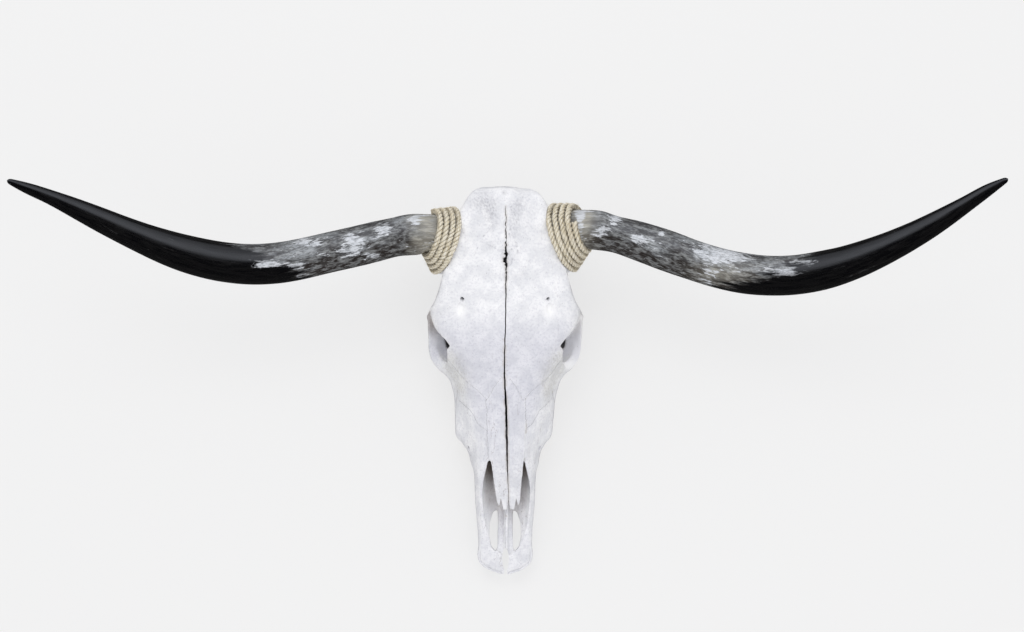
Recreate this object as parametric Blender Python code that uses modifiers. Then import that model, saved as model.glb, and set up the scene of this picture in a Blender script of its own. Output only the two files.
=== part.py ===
"""Longhorn steer skull, life size: white bone, two polished horns, and rope bound round their bases.

The skull is worked out in its own face frame: x to the right as the face is looked at, y along the face
from the nose to the poll (the crest between the horns), z straight out of the face.  "Ahead" below is the
distance from the poll towards the nose, so it is -y.  An empty then lays the skull on its cheek teeth and
the back of its base, face up, as it rests on a table.
"""

import math

import bmesh
import bpy
import numpy as np
from mathutils import Euler, Matrix, Vector

MM = 0.001

# How the skull lies: the face falls towards the nose, and the poll stands this high above the table.
FACE_SLOPE = math.radians(11)
POLL_HEIGHT = 190

# Cells that fuse the bone, how far its edges are softened, and the gap that parts two bones along a suture.
FUSE_CELL = 2.6
FINE_CELL = 2.3
SUTURE = 0.7
SKULL_TRIANGLES = 3450

# The skull's long forms, each a rail from the poll to the front of the upper jaw: (ahead, half width,
# height) in mm.  Heights count from the plane of the forehead, so most are below zero.
CREST = ((0, 0, -24), (5, 0, -9), (16, 0, -1), (60, 0, 1), (120, 0, 1), (170, 0, 1), (215, 0, -1),
         (255, 0, -6), (345, 0, -7), (370, 0, -12), (400, 0, -30), (430, 0, -44), (460, 0, -54),
         (490, 0, -60), (510, 0, -65), (520, 0, -69))
BROW = ((0, 33, -28), (5, 41.5, -15), (16, 49, -8), (30, 57.5, -11), (69, 72, -14.5), (100, 78, -14.5),
        (125, 84, -16), (141, 88, -19), (156, 94, -25), (168, 98, -33), (188, 90, -21), (210, 75, -16),
        (240, 63, -20), (260, 55, -23), (322, 41, -26), (369, 34, -27), (400, 33, -37), (430, 31, -47),
        (460, 30, -54), (490, 31, -61), (508, 24, -66), (520, 6, -69))
EAVE = ((0, 42, -52), (16, 54, -44), (40, 61, -40), (80, 66, -34), (110, 72, -32), (150, 84, -42),
        (168, 94, -50), (190, 94, -44), (225, 85, -42), (260, 65, -45), (322, 54, -48), (345, 47, -47),
        (369, 41, -46), (400, 38, -51), (430, 36, -57), (460, 34.5, -61), (490, 35.5, -64), (508, 28, -67),
        (520, 6.5, -69.3))
FLANK = ((0, 54, -82), (16, 64, -80), (40, 60, -78), (80, 52, -64), (110, 48, -58), (150, 48, -60),
         (168, 66, -66), (188, 99, -67), (206, 103, -68), (225, 101, -69), (243, 90, -70), (251, 81, -71),
         (260, 74, -72), (290, 67.5, -74), (326, 67, -76), (341, 59, -76), (356, 49.5, -74),
         (369, 46, -71), (385, 41.5, -68), (417, 40, -66), (460, 37, -67), (480, 36.2, -68),
         (492, 38, -68), (502, 37, -68), (511, 28, -68.5), (517, 17, -69), (520, 7, -69.6))
JAW = ((0, 62, -108), (16, 78, -110), (34, 83, -110), (60, 74, -108), (80, 60, -106), (110, 48, -102),
       (150, 42, -98), (180, 50, -98), (206, 64, -101), (225, 65, -108), (245, 63, -115), (290, 61, -113),
       (322, 57, -109), (345, 50, -103), (369, 43, -97), (400, 34, -87), (430, 33, -80), (460, 32, -75),
       (490, 34, -71.5), (508, 28, -70.5), (520, 6.5, -70.3))
BASE = ((0, 40, -132), (16, 50, -142), (60, 44, -146), (110, 34, -136), (150, 26, -126), (190, 28, -116),
        (225, 37, -122), (290, 36, -120), (345, 30, -108), (400, 23, -93), (430, 21, -84), (460, 20, -78),
        (490, 20, -74), (508, 14, -72), (520, 4, -70.7))
KEEL = ((0, 0, -138), (16, 0, -147), (60, 0, -148), (110, 0, -138), (150, 0, -126), (190, 0, -112),
        (225, 0, -108), (260, 0, -107), (322, 0, -99), (369, 0, -89), (430, 0, -79), (490, 0, -71.5),
        (520, 0, -70.8))
RAILS = (CREST, BROW, EAVE, FLANK, JAW, BASE, KEEL)
FACE_LENGTH = 520
# The back of the skull leans: its foot lies this far ahead of the poll, and the lean dies out ahead of it.
NAPE_LEAN = ((0, 44), (50, 20), (100, 0), (520, 0))

# Eye socket: the middle of its opening, the way it faces (across, ahead, out), its radii and depth.
SOCKET_INSIDE = ((169, 101.5, -50), (180, 96, -68), (191, 91, -79), (202, 81, -88), (214, 78.5, -79),
                 (224, 77, -60), (232, 77, -47), (241, 80, -52), (248, 87, -66))
SOCKET_RIM = ((169, 103.5, -58), (188, 104, -65), (206, 103.5, -66), (225, 101.5, -67), (243, 91, -68),
              (248, 88, -69))

# Cheek teeth from the front: (ahead, at the tooth's front edge, and width), and the outer line they follow.
TEETH = ((368, 17), (353, 18), (336, 19), (319, 23), (295, 24), (268, 24))
TEETH_END = 239
TEETH_LINE = ((235, 58), (262, 60), (300, 58), (335, 51), (370, 44))
TOOTH_GAP = 1.6

# The seam between the two sides drifts to the right along the nose: (ahead, across).
SEAM = ((230, -0.5), (250, -0.5), (300, 1.6), (375, 3.2), (434, 4.9), (446, 0.6), (600, 0.6))
# The suture between forehead and face leans: it runs this far ahead above the face, and back below it.
FACE_LEAN = (8.7, 29.3)
# Nasal bones: half width about the seam and thickness, out to the notched tips over the nose.
NASAL_HALF = ((238, 4), (262, 14), (300, 24), (345, 24), (365, 21.4), (401, 17.5), (421, 15), (430, 8))
NASAL_THICK = 5
NASAL_NOTCH = ((10, 415), (14, 440), (6.5, 440))
NASAL_SPLIT = 0.8
# The hollow of the nose: half width, roof under the nasal bones and floor, along its length.
NOSE_MIDDLE = 1.4
NOSE_HALF = ((305, 8), (325, 20), (365, 24.8), (395, 31), (417, 33), (440, 32.2), (467, 27), (482, 19),
             (492, 9))
NOSE_ROOF = ((305, -36), (325, -22), (350, -14), (362, -10), (368, 20), (492, 20))
NOSE_FLOOR = ((305, -50), (325, -62), (365, -66), (417, -68), (470, -70), (492, -68))
# The hole through the palate on each side, in plan.
PALATE_HOLE = ((10, 432), (16, 435), (20.8, 450), (21.3, 467), (18.6, 481), (13, 488), (9.3, 480), (8.2, 455))

# Horns: the middle line and radius of each, from the end of the bone core out to the tip, in mm.
HORN_RIGHT = ((113, 57.6, -24.5, 26.2), (144, 63.4, -24, 25.7), (184, 75, -23, 27),
              (247, 97.5, -20, 27.2), (310, 114, -14, 26.9), (372, 118, -4, 26.3), (433.5, 108, 12, 24.9),
              (493, 85.5, 32, 20.4), (552, 54.5, 54, 15.2), (609, 17.5, 78, 8.8), (636, 1, 91, 3.8),
              (642, -2, 94, 1.4))
HORN_LEFT = ((113, 61.8, -24.5, 26.6), (142, 66.8, -24, 26.2), (171, 73, -23, 26.7),
             (234, 88, -20, 27.3), (297, 101.5, -14, 27.3), (359, 102.5, -4, 26.4), (420, 90, 12, 24.5),
             (480, 67.5, 32, 19.4), (538.5, 40.5, 54, 14.4), (596, 14.5, 78, 8.4), (628, 2.5, 91, 3.8),
             (635, 0, 94, 1.4))
HORN_SIDES = 14
HORN_STATIONS = 22

# Rope binding: its first turn lies on the skull and its last on the horn.  Each row is across, ahead,
# height, radius, how far the turn leans out at its nose side, and how far its face side leans in.
ROPE_FIRST = {1: (74.1, 68.6, -43.5, 46.6, 22.3, 19.8), -1: (76.6, 72.1, -43, 45.6, 20.3, 20.7)}
ROPE_LAST = {1: (102.6, 55.6, -24.5, 29.3, 13.9, 20.4), -1: (99, 61.2, -26, 28.4, 13.3, 22.3)}
ROPE_THICKNESS = 8.0
ROPE_PLAY = 1.7
ROPE_GAP = 0.25
ROPE_TURNS = {1: 4.65, -1: 3.9}
ROPE_STARTS = {1: -0.05, -1: 0.7}
ROPE_STEPS = 17
CORE_SHARE = 0.62


def clear_scene():
    for obj in list(bpy.data.objects):
        bpy.data.objects.remove(obj)


def new_collection(name):
    made = bpy.data.collections.new(name)
    bpy.context.scene.collection.children.link(made)
    return made


def place(side, across, ahead, height):
    """A point of the face frame, from millimetres, on the right (side 1) or the left (side -1)."""
    return Vector((side * across * MM, -ahead * MM, height * MM))


def smooth_through(knots, at):
    """Values at the distances `at`, on a smooth curve through (distance, value) knots, never beyond them."""
    x, y = np.array(knots, float).T
    step = np.diff(x)
    slope = np.diff(y) / step
    bend = np.concatenate([slope[:1], np.zeros(len(slope) - 1), slope[-1:]])
    both = slope[:-1] * slope[1:]
    inner = both > 0
    bend[1:-1][inner] = 2 * both[inner] / (slope[:-1] + slope[1:])[inner]
    i = np.clip(np.searchsorted(x, at, side="right") - 1, 0, len(step) - 1)
    t = (at - x[i]) / step[i]
    return (y[i] * (1 + 2 * t) * (1 - t) ** 2 + y[i + 1] * t * t * (3 - 2 * t)
            + step[i] * (bend[i] * t * (1 - t) ** 2 - bend[i + 1] * t * t * (1 - t)))


def spring_through(knots, count):
    """Points on the smoothest curve through rows of knots, as a thin bent strip would run through them."""
    knots = np.array(knots, float)
    gap = np.linalg.norm(np.diff(knots[:, :3], axis=0), axis=1)
    along = np.concatenate([[0], np.cumsum(gap)])
    size = len(knots)
    grid = np.eye(size)
    pull = np.zeros_like(knots)
    for i in range(1, size - 1):
        grid[i, i - 1:i + 2] = gap[i - 1], 2 * (gap[i - 1] + gap[i]), gap[i]
        pull[i] = 6 * ((knots[i + 1] - knots[i]) / gap[i] - (knots[i] - knots[i - 1]) / gap[i - 1])
    bend = np.linalg.solve(grid, pull)
    at = np.linspace(0, along[-1], count)
    i = np.clip(np.searchsorted(along, at, side="right") - 1, 0, size - 2)
    h, a, b = gap[i, None], (along[i + 1] - at)[:, None], (at - along[i])[:, None]
    return (bend[i] * a ** 3 + bend[i + 1] * b ** 3) / (6 * h) + (knots[i] / h - bend[i] * h / 6) * a + (
        knots[i + 1] / h - bend[i + 1] * h / 6) * b


def round_ring(corners, spans):
    """Rings of points through rings of corners, on closed smooth curves: corners is (rings, corners, 3)."""
    chord = np.sqrt(np.linalg.norm(np.roll(corners, -1, 1) - corners, axis=2, keepdims=True))
    before = np.roll(chord, 1, 1)
    ahead = (np.roll(corners, -1, 1) - corners) / chord
    behind = np.roll(ahead, 1, 1)
    bend = (ahead * before + behind * chord) / (before + chord)
    after, bend_after = np.roll(corners, -1, 1), np.roll(bend, -1, 1)
    rows = []
    for t in np.arange(spans) / spans:
        rows.append(corners * (1 + 2 * t) * (1 - t) ** 2 + after * t * t * (3 - 2 * t)
                    + chord * (bend * t * (1 - t) ** 2 - bend_after * t * t * (1 - t)))
    return np.stack(rows, 2).reshape(len(corners), -1, 3)


def add_mesh(name, bm, collection):
    mesh = bpy.data.meshes.new(name)
    bmesh.ops.recalc_face_normals(bm, faces=bm.faces)
    bm.to_mesh(mesh)
    bm.free()
    obj = bpy.data.objects.new(name, mesh)
    collection.objects.link(obj)
    return obj


def loft(name, rings, collection):
    """A closed surface through rings of equally many points, with flat ends."""
    bm = bmesh.new()
    rows = [[bm.verts.new(point) for point in ring] for ring in rings]
    for row, following in zip(rows, rows[1:]):
        for i in range(len(row)):
            j = (i + 1) % len(row)
            bm.faces.new((row[i], row[j], following[j], following[i]))
    bm.faces.new(rows[0])
    bm.faces.new(rows[-1])
    return add_mesh(name, bm, collection)


def along_rail(rail, at):
    """Points (across, height) on a rail of (ahead, across, height) knots at the distances `at`."""
    knots = np.array(rail, float)
    return smooth_through(knots[:, :2], at), smooth_through(knots[:, ::2], at)


def ellipsoid(name, centre, radii, collection, lean=(0, 0, 0)):
    """A sphere stretched to three radii and turned, in millimetres of the face frame (ahead counts as -y)."""
    bm = bmesh.new()
    bmesh.ops.create_uvsphere(bm, u_segments=28, v_segments=16, radius=MM)
    bmesh.ops.scale(bm, vec=radii, verts=bm.verts)
    turn = Euler([math.radians(angle) for angle in lean]).to_matrix()
    bmesh.ops.rotate(bm, matrix=turn, verts=bm.verts)
    bmesh.ops.translate(bm, vec=centre, verts=bm.verts)
    return add_mesh(name, bm, collection)


def strap(name, side, knots, collection, steps=22, sides=14):
    """A bar along knots of (across, ahead, height, half thickness, half depth), in millimetres.

    The thickness lies level and square to the bar, and the depth square to both."""
    order = np.arange(len(knots))
    at = np.linspace(0, order[-1], steps)
    across, ahead, height, thick, deep = (
        smooth_through(np.stack([order, column], 1), at) for column in np.array(knots, float).T)
    path = np.stack([side * across, -ahead, height], 1)
    along = np.gradient(path, axis=0)
    along /= np.linalg.norm(along, axis=1, keepdims=True)
    level = np.cross(along, (0.0, 0.0, 1.0))
    level += 0.3 * np.cross(along, (0.0, 1.0, 0.0))
    level /= np.linalg.norm(level, axis=1, keepdims=True)
    up = np.cross(level, along)
    turn = np.arange(sides) * 2 * math.pi / sides
    rings = [middle + np.outer(np.cos(turn) * t, o) + np.outer(np.sin(turn) * d, u)
             for middle, o, u, t, d in zip(path, level, up, thick, deep)]
    return loft(name, np.array(rings) * MM, collection)


def block(name, low, high, collection, soft=0):
    """A box between two corners in millimetres, with its edges rounded by `soft`."""
    low, high = np.minimum(low, high), np.maximum(low, high)
    bm = bmesh.new()
    bmesh.ops.create_cube(bm, size=1)
    bmesh.ops.scale(bm, vec=(high - low) * MM, verts=bm.verts)
    bmesh.ops.translate(bm, vec=(high + low) / 2 * MM, verts=bm.verts)
    if soft:
        bmesh.ops.bevel(bm, geom=list(bm.edges), offset=soft * MM, segments=2, affect="EDGES", profile=0.5)
    return add_mesh(name, bm, collection)


def prism(name, outline, low, high, collection, grow=0, foot=None):
    """An upright solid over an outline of (x, ahead) corners in mm, grown sideways and up by `grow`.

    A `foot` outline, of as many corners, gives the solid another shape at its lower end."""
    ends = []
    for corners, level in ((foot or outline, low - grow), (outline, high + grow)):
        flat = np.array(corners, float) * (1, -1)
        edge = np.roll(flat, -1, 0) - flat
        edge /= np.linalg.norm(edge, axis=1, keepdims=True)
        area = np.sum(flat[:, 0] * np.roll(flat[:, 1], -1) - flat[:, 1] * np.roll(flat[:, 0], -1))
        out = np.stack([edge[:, 1], -edge[:, 0]], 1) * np.sign(area)
        corner = out + np.roll(out, 1, 0)
        corner /= np.maximum(np.sum(corner * out, 1, keepdims=True), 0.3)
        flat += corner * grow
        ends.append(np.column_stack([flat, np.full(len(flat), level)]))
    return loft(name, np.array(ends) * MM, collection)


def join(name, objects, collection):
    """One mesh holding all the given objects' meshes, which are removed."""
    bm = bmesh.new()
    for obj in objects:
        bm.from_mesh(obj.data)
        bpy.data.objects.remove(obj)
    return add_mesh(name, bm, collection)


def apply(obj, kind, **settings):
    """Runs one modifier on an object and keeps its result as the object's mesh."""
    modifier = obj.modifiers.new(kind.lower(), kind)
    for key, value in settings.items():
        setattr(modifier, key, value)
    graph = bpy.context.evaluated_depsgraph_get()
    mesh = bpy.data.meshes.new_from_object(obj.evaluated_get(graph))
    obj.modifiers.clear()
    obj.data = mesh
    return obj


def cut(obj, cutter, operation="DIFFERENCE", solver="EXACT"):
    apply(obj, "BOOLEAN", object=cutter, operation=operation, solver=solver)
    bpy.data.objects.remove(cutter)
    return obj


def largest_body(obj):
    """Drops the slivers that a cut leaves, so that the object is one body."""
    bm = bmesh.new()
    bm.from_mesh(obj.data)
    left, bodies = set(bm.verts), []
    while left:
        body, queue = set(), [left.pop()]
        while queue:
            vert = queue.pop()
            body.add(vert)
            for edge in vert.link_edges:
                other = edge.other_vert(vert)
                if other in left:
                    left.discard(other)
                    queue.append(other)
        bodies.append(body)
    bodies.sort(key=lambda body: box_size(body))
    for body in bodies[:-1]:
        bmesh.ops.delete(bm, geom=list(body), context="VERTS")
    bm.to_mesh(obj.data)
    bm.free()
    return obj


def box_size(verts):
    places = np.array([vert.co for vert in verts])
    return float(np.prod(places.max(0) - places.min(0)))


def skull_body(collection):
    """The main mass of the skull: one loft through the rails, from the nape to the front of the upper jaw."""
    ends = 1 - np.cos(np.linspace(0, math.pi, 121))
    at = FACE_LENGTH * (0.5 * np.linspace(0, 1, 121) + 0.25 * ends)
    half = []
    for rail in RAILS:
        across, height = along_rail(rail, at)
        half.append(np.stack([across, np.zeros_like(at), height], 1))
    crest, brow = half[0], half[1]
    roof = crest * 0.45 + brow * 0.55
    roof[:, 2] = crest[:, 2] * 0.72 + brow[:, 2] * 0.28
    half.insert(1, roof)
    corners = np.stack(half, 1)
    depth = (corners[:, :1, 2] - corners[:, :, 2]) / (corners[:, :1, 2] - corners[:, -1:, 2])
    corners[:, :, 1] = -(at[:, None] + smooth_through(NAPE_LEAN, at)[:, None] * depth)
    mirrored = corners[:, -2:0:-1] * (-1, 1, 1)
    rings = round_ring(np.concatenate([corners, mirrored], 1), 5) * MM
    return loft("skull_body", rings, collection)


def floor_under(ahead):
    """Height of the table in the face frame, under a point this far ahead of the poll, in millimetres."""
    return (ahead * math.sin(FACE_SLOPE) - POLL_HEIGHT) / math.cos(FACE_SLOPE)


def binding_ring(side, share):
    """The circle that the rope follows at a share of its way out: its middle, radius and two axes."""
    across, ahead, height, radius, nose_lean, face_lean = (
        a + (b - a) * share for a, b in zip(ROPE_FIRST[side], ROPE_LAST[side]))
    middle = np.array((side * across, -ahead, height))
    noseward = np.array((side * math.sin(math.radians(nose_lean)), -math.cos(math.radians(nose_lean)), 0))
    outward = np.cross(noseward, (0, 0, -side))
    lean = math.radians(face_lean)
    faceward = np.array((0, 0, math.cos(lean))) - outward * math.sin(lean)
    return middle, radius, faceward, noseward


def rope_point(side, turn):
    """The rope's middle line, in mm, at a number of turns counted from the face side of its outer end."""
    middle, radius, faceward, noseward = binding_ring(side, 1 + (ROPE_STARTS[side] - turn) / ROPE_TURNS[side])
    angle = 2 * math.pi * turn
    return middle + radius * (math.cos(angle) * faceward + math.sin(angle) * noseward)


def binding_circle(side, share, sides):
    """Points of the circle just inside that one, under the rope, with room for the rope's straight steps."""
    middle, radius, faceward, noseward = binding_ring(side, share)
    turn = np.arange(sides)[:, None] * 2 * math.pi / sides
    radius -= ROPE_THICKNESS / 2 + ROPE_PLAY
    return middle + radius * (np.cos(turn) * faceward + np.sin(turn) * noseward)


def pedicle(side, collection):
    """The bone stem that carries a horn, under the rope: it follows the turns, just inside them."""
    rings = [binding_circle(side, share, 24) for share in np.linspace(-0.3, CORE_SHARE, 10)]
    return loft("pedicle", np.array(rings) * MM, collection)


def bone_forms(collection):
    """All the solid forms of the skull that are fused into one."""
    forms = [skull_body(collection),
             ellipsoid("nape", place(1, 0, 36, -84), (44, 26, 46), collection, (-16, 0, 0))]
    for side in (1, -1):
        forms += [
            pedicle(side, collection),
            # Back of the skull: the condyles that carry the neck, and the processes that it stands on.
            ellipsoid("condyle", place(side, 29, 31, -140), (19, 17, 25), collection,
                      (0, side * -14, side * 18)),
            strap("jugular", side, ((66, 48, -92, 12, 13), (66, 52, -120, 11, 15), (61, 57, -150, 8, 13),
                                    (57, 60, -188, 6, 9)), collection),
            ellipsoid("mastoid", place(side, 72, 46, -100), (12, 17, 24), collection),
            ellipsoid("tubercle", place(side, 13, 84, -146), (10, 13, 9), collection),
            # Side of the skull: the ear, the joint for the lower jaw, and the bars behind and under the eye.
            ellipsoid("bulla", place(side, 43, 96, -134), (11, 17, 19), collection),
            strap("ear_tube", side, ((52, 92, -92, 9, 9), (82, 86, -88, 9, 9)), collection, steps=6),
            ellipsoid("jaw_joint", place(side, 66, 104, -90), (19, 12, 9), collection),
            strap("arch", side, ((70, 88, -90, 7, 8), (78, 106, -88, 4.5, 7), (83, 128, -82, 4, 8),
                                 (90, 151, -75, 4, 8.5), (97.8, 174, -72, 4.8, 10),
                                 (98, 205, -74, 5, 9)), collection),
            strap("orbit_bar", side, ((87, 158, -36, 6, 6), (93.5, 166, -46, 5, 7), (97.3, 171, -58, 4.6, 7),
                                      (97.8, 175, -72, 5, 9)), collection),
            ellipsoid("orbit_floor", place(side, 81, 197, -84), (19, 27, 13), collection),
            ellipsoid("temple_wall", place(side, 30, 120, -84), (33, 60, 52), collection),
            # Front of the skull: the cheek swelling and the plates behind the palate.
            ellipsoid("cheek_swelling", place(side, 55, 321, -77), (12, 20, 11), collection,
                      (0, side * -20, side * 12)),
            strap("pterygoid", side, ((20, 172, -118, 3.5, 18), (21, 200, -126, 3, 17),
                                      (24, 238, -120, 5, 12)), collection),
        ]
        front = [start for start, _ in TEETH]
        for (start, width), end in zip(TEETH, front[1:] + [TEETH_END]):
            outer = float(smooth_through(TEETH_LINE, np.array([(start + end) / 2]))[0])
            low = floor_under(start) - 4
            forms.append(block("tooth", (side * outer, -start + TOOTH_GAP / 2, low),
                               (side * (outer - width), -end - TOOTH_GAP / 2, low + 42), collection, soft=4))
    return join("skull_forms", forms, collection)


def socket(side, collection):
    """What is open in an eye socket: its floor rises outward, from under the brow to the outer rim."""
    at = np.linspace(SOCKET_RIM[0][0], SOCKET_RIM[-1][0], 14)
    share = np.linspace(0, 1.6, 7)
    rings = []
    for ahead, (inner, deep), (outer, rim) in zip(at, zip(*along_rail(SOCKET_INSIDE, at)),
                                                  zip(*along_rail(SOCKET_RIM, at))):
        floor = rim + (deep - rim) * np.clip(1 - share, 0, 1) ** 1.35 - 14 * np.clip(share - 1, 0, 1)
        across = np.concatenate([inner + (outer - inner + 0.5) * share, [130, inner - 1.5]])
        height = np.concatenate([floor, [30, 30]])
        rings.append(np.stack([side * across, np.full(len(across), -ahead), height], 1))
    return loft("socket", np.array(rings) * MM, collection)


def bone_hollows(collection):
    """Everything that is open in the skull: sockets, nose, throat, neck and the holes for nerves."""
    gone = [
        ellipsoid("brain_opening", place(1, 0, 34, -129), (19, 40, 19), collection),
        ellipsoid("throat", place(1, 0, 205, -131), (16, 44, 30), collection),
        prism("lip_slit", ((-2.5, 494), (2.5, 494), (3.2, 530), (-3.2, 530)), -90, -40, collection),
    ]
    for side in (1, -1):
        shelf = [rope_point(side, turn) + (side * 1.5, 0, 5) for turn in np.linspace(3.72, 4.3, 7)]
        gone += [
            socket(side, collection),
            ellipsoid("eye_hollow", place(side, 74.1, 204.2, -52.3), (26.5, 29.3, 19.6), collection,
                      (0, side * 6, 0)),
            strap("rope_shelf", side, [(side * x, -y, z, 4.8, 9.5) for x, y, z in shelf], collection,
                  steps=8),
            ellipsoid("temple_hollow", place(side, 72, 128, -62), (26, 27, 17), collection,
                      (0, side * 24, 0)),
            prism("palate_fissure", [(side * x, v) for x, v in PALATE_HOLE], -100, -50, collection),
            strap("ear_hole", side, ((60, 90, -91, 4.5, 4.5), (95, 84, -87, 5, 5)), collection, steps=4),
            strap("cheek_hole", side, ((40, 340, -58, 3, 4), (62, 366, -54, 4, 5)), collection, steps=4),
            strap("brow_hole", side, ((55, 146, -22, 2.6, 2.6), (59, 156, 4, 2.8, 2.8)), collection, steps=4),
        ]
    return join("hollows", gone, collection)


def nose_hollow(collection):
    """The hollow of the nose: a cave under the nasal bones that lies open ahead of them."""
    at = np.linspace(NOSE_HALF[0][0], NOSE_HALF[-1][0], 36)
    half, roof, low = (smooth_through(line, at) for line in (NOSE_HALF, NOSE_ROOF, NOSE_FLOOR))
    turn = np.arange(24) * 2 * math.pi / 24
    round_x = np.sign(np.cos(turn)) * np.abs(np.cos(turn)) ** 0.7
    round_z = np.sign(np.sin(turn)) * np.abs(np.sin(turn)) ** 0.7
    rings = [np.stack([NOSE_MIDDLE + w * round_x, np.full(24, -v),
                       (top + bottom) / 2 + (top - bottom) / 2 * round_z], 1)
             for v, w, top, bottom in zip(at, half, roof, low)]
    return loft("nose_hollow", np.array(rings) * MM, collection)


def nasal_roof(side, collection):
    """One nasal bone: a thin arched plate that runs out over the nose to a tip with a notch in it."""
    at = np.linspace(NASAL_HALF[0][0], NASAL_HALF[-1][0], 44)
    width = smooth_through(NASAL_HALF, at)
    rings = []
    for v, w, top, seam in zip(at, width, along_rail(CREST, at)[1], smooth_through(SEAM, at)):
        x = np.concatenate([np.linspace(NASAL_SPLIT, w, 7), np.linspace(w, NASAL_SPLIT, 7)])
        fall = top - 0.25 * w * (x / 24) ** 2
        fall[7:] -= NASAL_THICK * np.clip(1.15 - 0.55 * x[7:] / w, 0.4, 1)
        rings.append(np.stack([seam + side * x, np.full(14, -v), fall], 1))
    return loft("nasal_roof", np.array(rings) * MM, collection)


def fused_skull(collection):
    """The whole skull in one piece, lying on flats where the table touches it."""
    skull = bone_forms(collection)
    apply(skull, "REMESH", mode="VOXEL", voxel_size=FUSE_CELL * MM)
    apply(skull, "SMOOTH", factor=0.5, iterations=4)
    cut(skull, bone_hollows(collection))
    cut(skull, nose_hollow(collection))
    rims = [nasal_roof(side, collection) for side in (1, -1)]
    for side, roof in zip((1, -1), rims):
        cut(roof, prism("nasal_notch", from_seam(NASAL_NOTCH, side), -80, 0, collection))
    rims += [strap("nose_bar", side, ((4.5, 410, -66, 4.5, 8), (5, 450, -66, 4.5, 5), (5.5, 500, -67, 5, 5)),
                   collection, steps=10) for side in (1, -1)]
    skull = join("skull", [skull] + rims, collection)
    apply(skull, "REMESH", mode="VOXEL", voxel_size=FINE_CELL * MM)
    apply(skull, "SMOOTH", factor=0.5, iterations=3)
    apply(skull, "DECIMATE", ratio=SKULL_TRIANGLES / triangles(skull))
    below = Matrix.Rotation(-FACE_SLOPE, 4, "X")
    table = block("table", (-200, -700, -120), (200, 200, 0), collection)
    table.data.transform(below @ Matrix.Translation((0, 0, -POLL_HEIGHT * MM)))
    cut(skull, table)
    return largest_body(skull)


def triangles(obj):
    return sum(len(face.vertices) - 2 for face in obj.data.polygons)


def sided(outline, side):
    return [(side * across, ahead) for across, ahead in outline]


def from_seam(outline, side):
    """An outline whose (across, ahead) corners count from the seam, in the face frame."""
    across, ahead = np.array(outline, float).T
    return list(zip(smooth_through(SEAM, ahead) + side * across, ahead))


def face_region(side, grow, collection):
    """All ahead of the suture between forehead and face, with the cheek bone under the eye."""
    seam = [(x, v) for v, x in SEAM[:1:-1]]
    line = [(SEAM[1][1], SEAM[1][0] - 4)] + sided(
        ((13, 263), (24, 284), (37, 270), (50, 262), (62, 250), (72, 237), (92, 222), (140, 222), (140, 600)),
        side) + seam
    top = [(x, v + FACE_LEAN[0]) for x, v in line]
    foot = [(x, v - FACE_LEAN[1]) for x, v in line]
    front = prism("face_region", top, -170, 40, collection, grow, foot)
    under = [(60, 240), (62, 226), (74, 202), (84, 180), (91, 163), (140, 158), (140, 240)]
    cheek = prism("cheek_region", sided(under, side), -170, -56, collection, grow)
    return cut(front, cheek, "UNION")


def nasal_region(side, grow, collection):
    line = ((-30, 230), (20, 230), (26, 284), (25.5, 300), (26, 330), (25, 350), (23, 366), (26, 440),
            (-30, 440))
    region = prism("nasal_region", from_seam(line, side), -70, 40, collection, grow)
    at = np.linspace(225, 445, 23)
    low = along_rail(CREST, at)[1] - NASAL_THICK - 4
    rings = [[(x, -v, z - grow) for x, z in ((-90, w), (90, w), (90, 60), (-90, 60))]
             for v, w in zip(at, low)]
    return cut(region, loft("over_nose", np.array(rings) * MM, collection), "INTERSECT")


def tear_region(side, grow, collection):
    line = [(20, 240), (22, 284), (22, 325), (36, 315), (46, 297), (59, 286), (72, 278), (110, 262),
            (110, 215), (50, 215)]
    return prism("tear_region", sided(line, side), -50, 40, collection, grow)


def cheek_bone_region(side, grow, collection):
    line = [(57, 150), (57, 226), (61, 262), (67, 294), (120, 294), (120, 150)]
    return prism("cheek_bone_region", sided(line, side), -99, -50, collection, grow)


def front_jaw_region(side, grow, collection):
    """The bone at the tip of the upper jaw: its seam slants back as it climbs beside the nose."""
    rings = [[(side * x, -v, z) for v, z in ((438 - grow, -100), (560, -100), (560, 0), (366 - grow, -30))]
             for x in (-20, 80)]
    return loft("front_jaw_region", np.array(rings) * MM, collection)


def copy_of(obj, name):
    made = bpy.data.objects.new(name, obj.data.copy())
    obj.users_collection[0].objects.link(made)
    return made


def carve(rest, name, region, side, collection):
    """Takes one bone off the rest along a suture, and leaves half of the gap on either side of it.

    The exact solver loses the whole left jaw at one of these sutures, so they are cut with the other one."""
    bone = cut(copy_of(rest, name), region(side, -SUTURE / 2, collection), "INTERSECT", "MANIFOLD")
    cut(rest, region(side, SUTURE / 2, collection), "DIFFERENCE", "MANIFOLD")
    return largest_body(bone)


def bones(collection):
    """The skull parted along its sutures into the bones that a person would name."""
    cranium = fused_skull(collection)
    pieces = []
    for side, hand in ((1, "right"), (-1, "left")):
        face = carve(cranium, "maxilla_" + hand, face_region, side, collection)
        pieces.append(face)
        for name, region in (("nasal_", nasal_region), ("zygomatic_", cheek_bone_region),
                             ("lacrimal_", tear_region), ("premaxilla_", front_jaw_region)):
            pieces.append(carve(face, name + hand, region, side, collection))
        largest_body(face)
    cranium.name = "cranium"
    return [largest_body(cranium)] + pieces


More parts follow.
